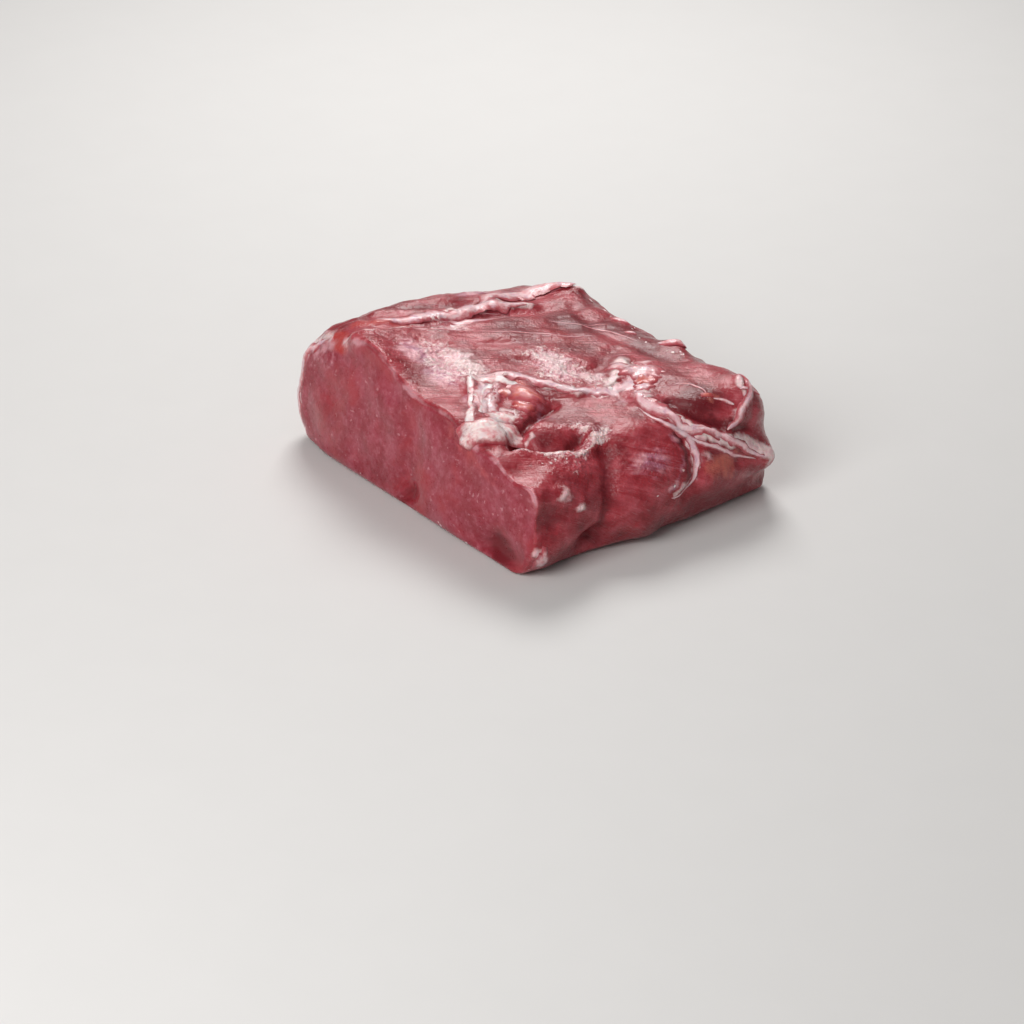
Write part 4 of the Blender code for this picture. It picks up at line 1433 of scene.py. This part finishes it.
def soft_light(name, place, side, power, tint):
    """A square area light aimed at the middle of the meat."""
    middle = (0.0, 0.0, 0.04)
    data = bpy.data.lights.new(name, "AREA")
    data.shape = "SQUARE"
    data.size = side
    data.energy = power
    data.color = tint
    return aimed(name, data, place, middle)


def pale_floor(tint):
    """Plain pale floor with a faint grain."""
    s = Sheet("pale_floor")
    grain = s.clouds(s.place, 30.0, 3.0)
    darker = tuple(0.97 * value for value in tint)
    s.feed(s.shader.inputs["Base Color"], s.blend(grain, darker, tint))
    s.shader.inputs["Roughness"].default_value = 0.75
    return s.material


class MEAT_OT_stage(Operator):
    """Sets the plain pale floor, the soft lights, the room light and the camera"""

    bl_idname = "meat.stage"
    bl_label = "Stage"

    def execute(self, context):
        stage = context.scene.meat_stage
        half = stage.floor_side / 2
        mesh = bpy.data.meshes.new("floor")
        corners = [(-half, -half, 0), (half, -half, 0), (half, half, 0), (-half, half, 0)]
        mesh.from_pydata(corners, [], [(0, 1, 2, 3)])
        mesh.materials.append(pale_floor(tuple(stage.floor_colour)))
        floor = bpy.data.objects.new("floor", mesh)
        context.scene.collection.objects.link(floor)

        soft_light("key_from_behind", (-0.65, 0.48, 0.96), 0.50, stage.key_power, (1.0, 0.985, 0.97))
        soft_light("side_on_cut", (0.30, -0.95, 0.80), 0.70, stage.side_power, (1.0, 0.99, 0.98))
        soft_light("fill_on_right", (1.10, 0.10, 0.60), 0.80, stage.fill_power, (1.0, 1.0, 1.0))

        world = bpy.data.worlds.new("room")
        world.use_nodes = True
        back = world.node_tree.nodes["Background"]
        back.inputs["Color"].default_value = (1.0, 1.0, 1.0, 1.0)
        back.inputs["Strength"].default_value = stage.room
        context.scene.world = world
        context.scene.view_settings.view_transform = "Standard"

        lens = bpy.data.cameras.new("camera")
        lens.lens = stage.lens
        lens.sensor_width = 36.0
        lens.clip_end = 50.0
        look_at = Vector((0.07775, -0.07687, 0.03))
        away = Vector((
            math.sin(stage.azimuth) * math.cos(stage.elevation),
            -math.cos(stage.azimuth) * math.cos(stage.elevation),
            math.sin(stage.elevation),
        ))
        context.scene.camera = aimed("camera", lens, look_at + away * stage.distance, look_at)
        return {"FINISHED"}


class MEAT_PT_panel(Panel):
    """Lists the sizes, the colours and one button for each group of pieces"""

    bl_idname = "MEAT_PT_panel"
    bl_label = "Raw meat joint"
    bl_space_type = "VIEW_3D"
    bl_region_type = "UI"
    bl_category = "Meat"

    def draw(self, context):
        for group in (context.scene.meat_sizes, context.scene.meat_colours, context.scene.meat_stage):
            box = self.layout.box()
            for key in group.bl_rna.properties.keys():
                if key not in ("rna_type", "name"):
                    box.prop(group, key)
        for step in OPERATORS:
            self.layout.operator(step.bl_idname)


GROUPS = {"meat_sizes": MeatSizes, "meat_colours": MeatColours, "meat_stage": StageSizes}
OPERATORS = (
    MEAT_OT_lean,
    MEAT_OT_edge_fat,
    MEAT_OT_fat_pads,
    MEAT_OT_amber_pads,
    MEAT_OT_web,
    MEAT_OT_tendons,
    MEAT_OT_silverskin,
    MEAT_OT_threads,
    MEAT_OT_flecks,
    MEAT_OT_stage,
)


def register():
    for name, group in GROUPS.items():
        bpy.utils.register_class(group)
        setattr(bpy.types.Scene, name, PointerProperty(type=group))
    for step in OPERATORS:
        bpy.utils.register_class(step)
    bpy.utils.register_class(MEAT_PT_panel)


def unregister():
    bpy.utils.unregister_class(MEAT_PT_panel)
    for step in reversed(OPERATORS):
        bpy.utils.unregister_class(step)
    for name, group in GROUPS.items():
        delattr(bpy.types.Scene, name)
        bpy.utils.unregister_class(group)


def main():
    """Registers the add-on and builds every piece in order."""
    register()
    for step in OPERATORS:
        group, name = step.bl_idname.split(".")
        getattr(getattr(bpy.ops, group), name)()


if __name__ == "__main__":
    main()
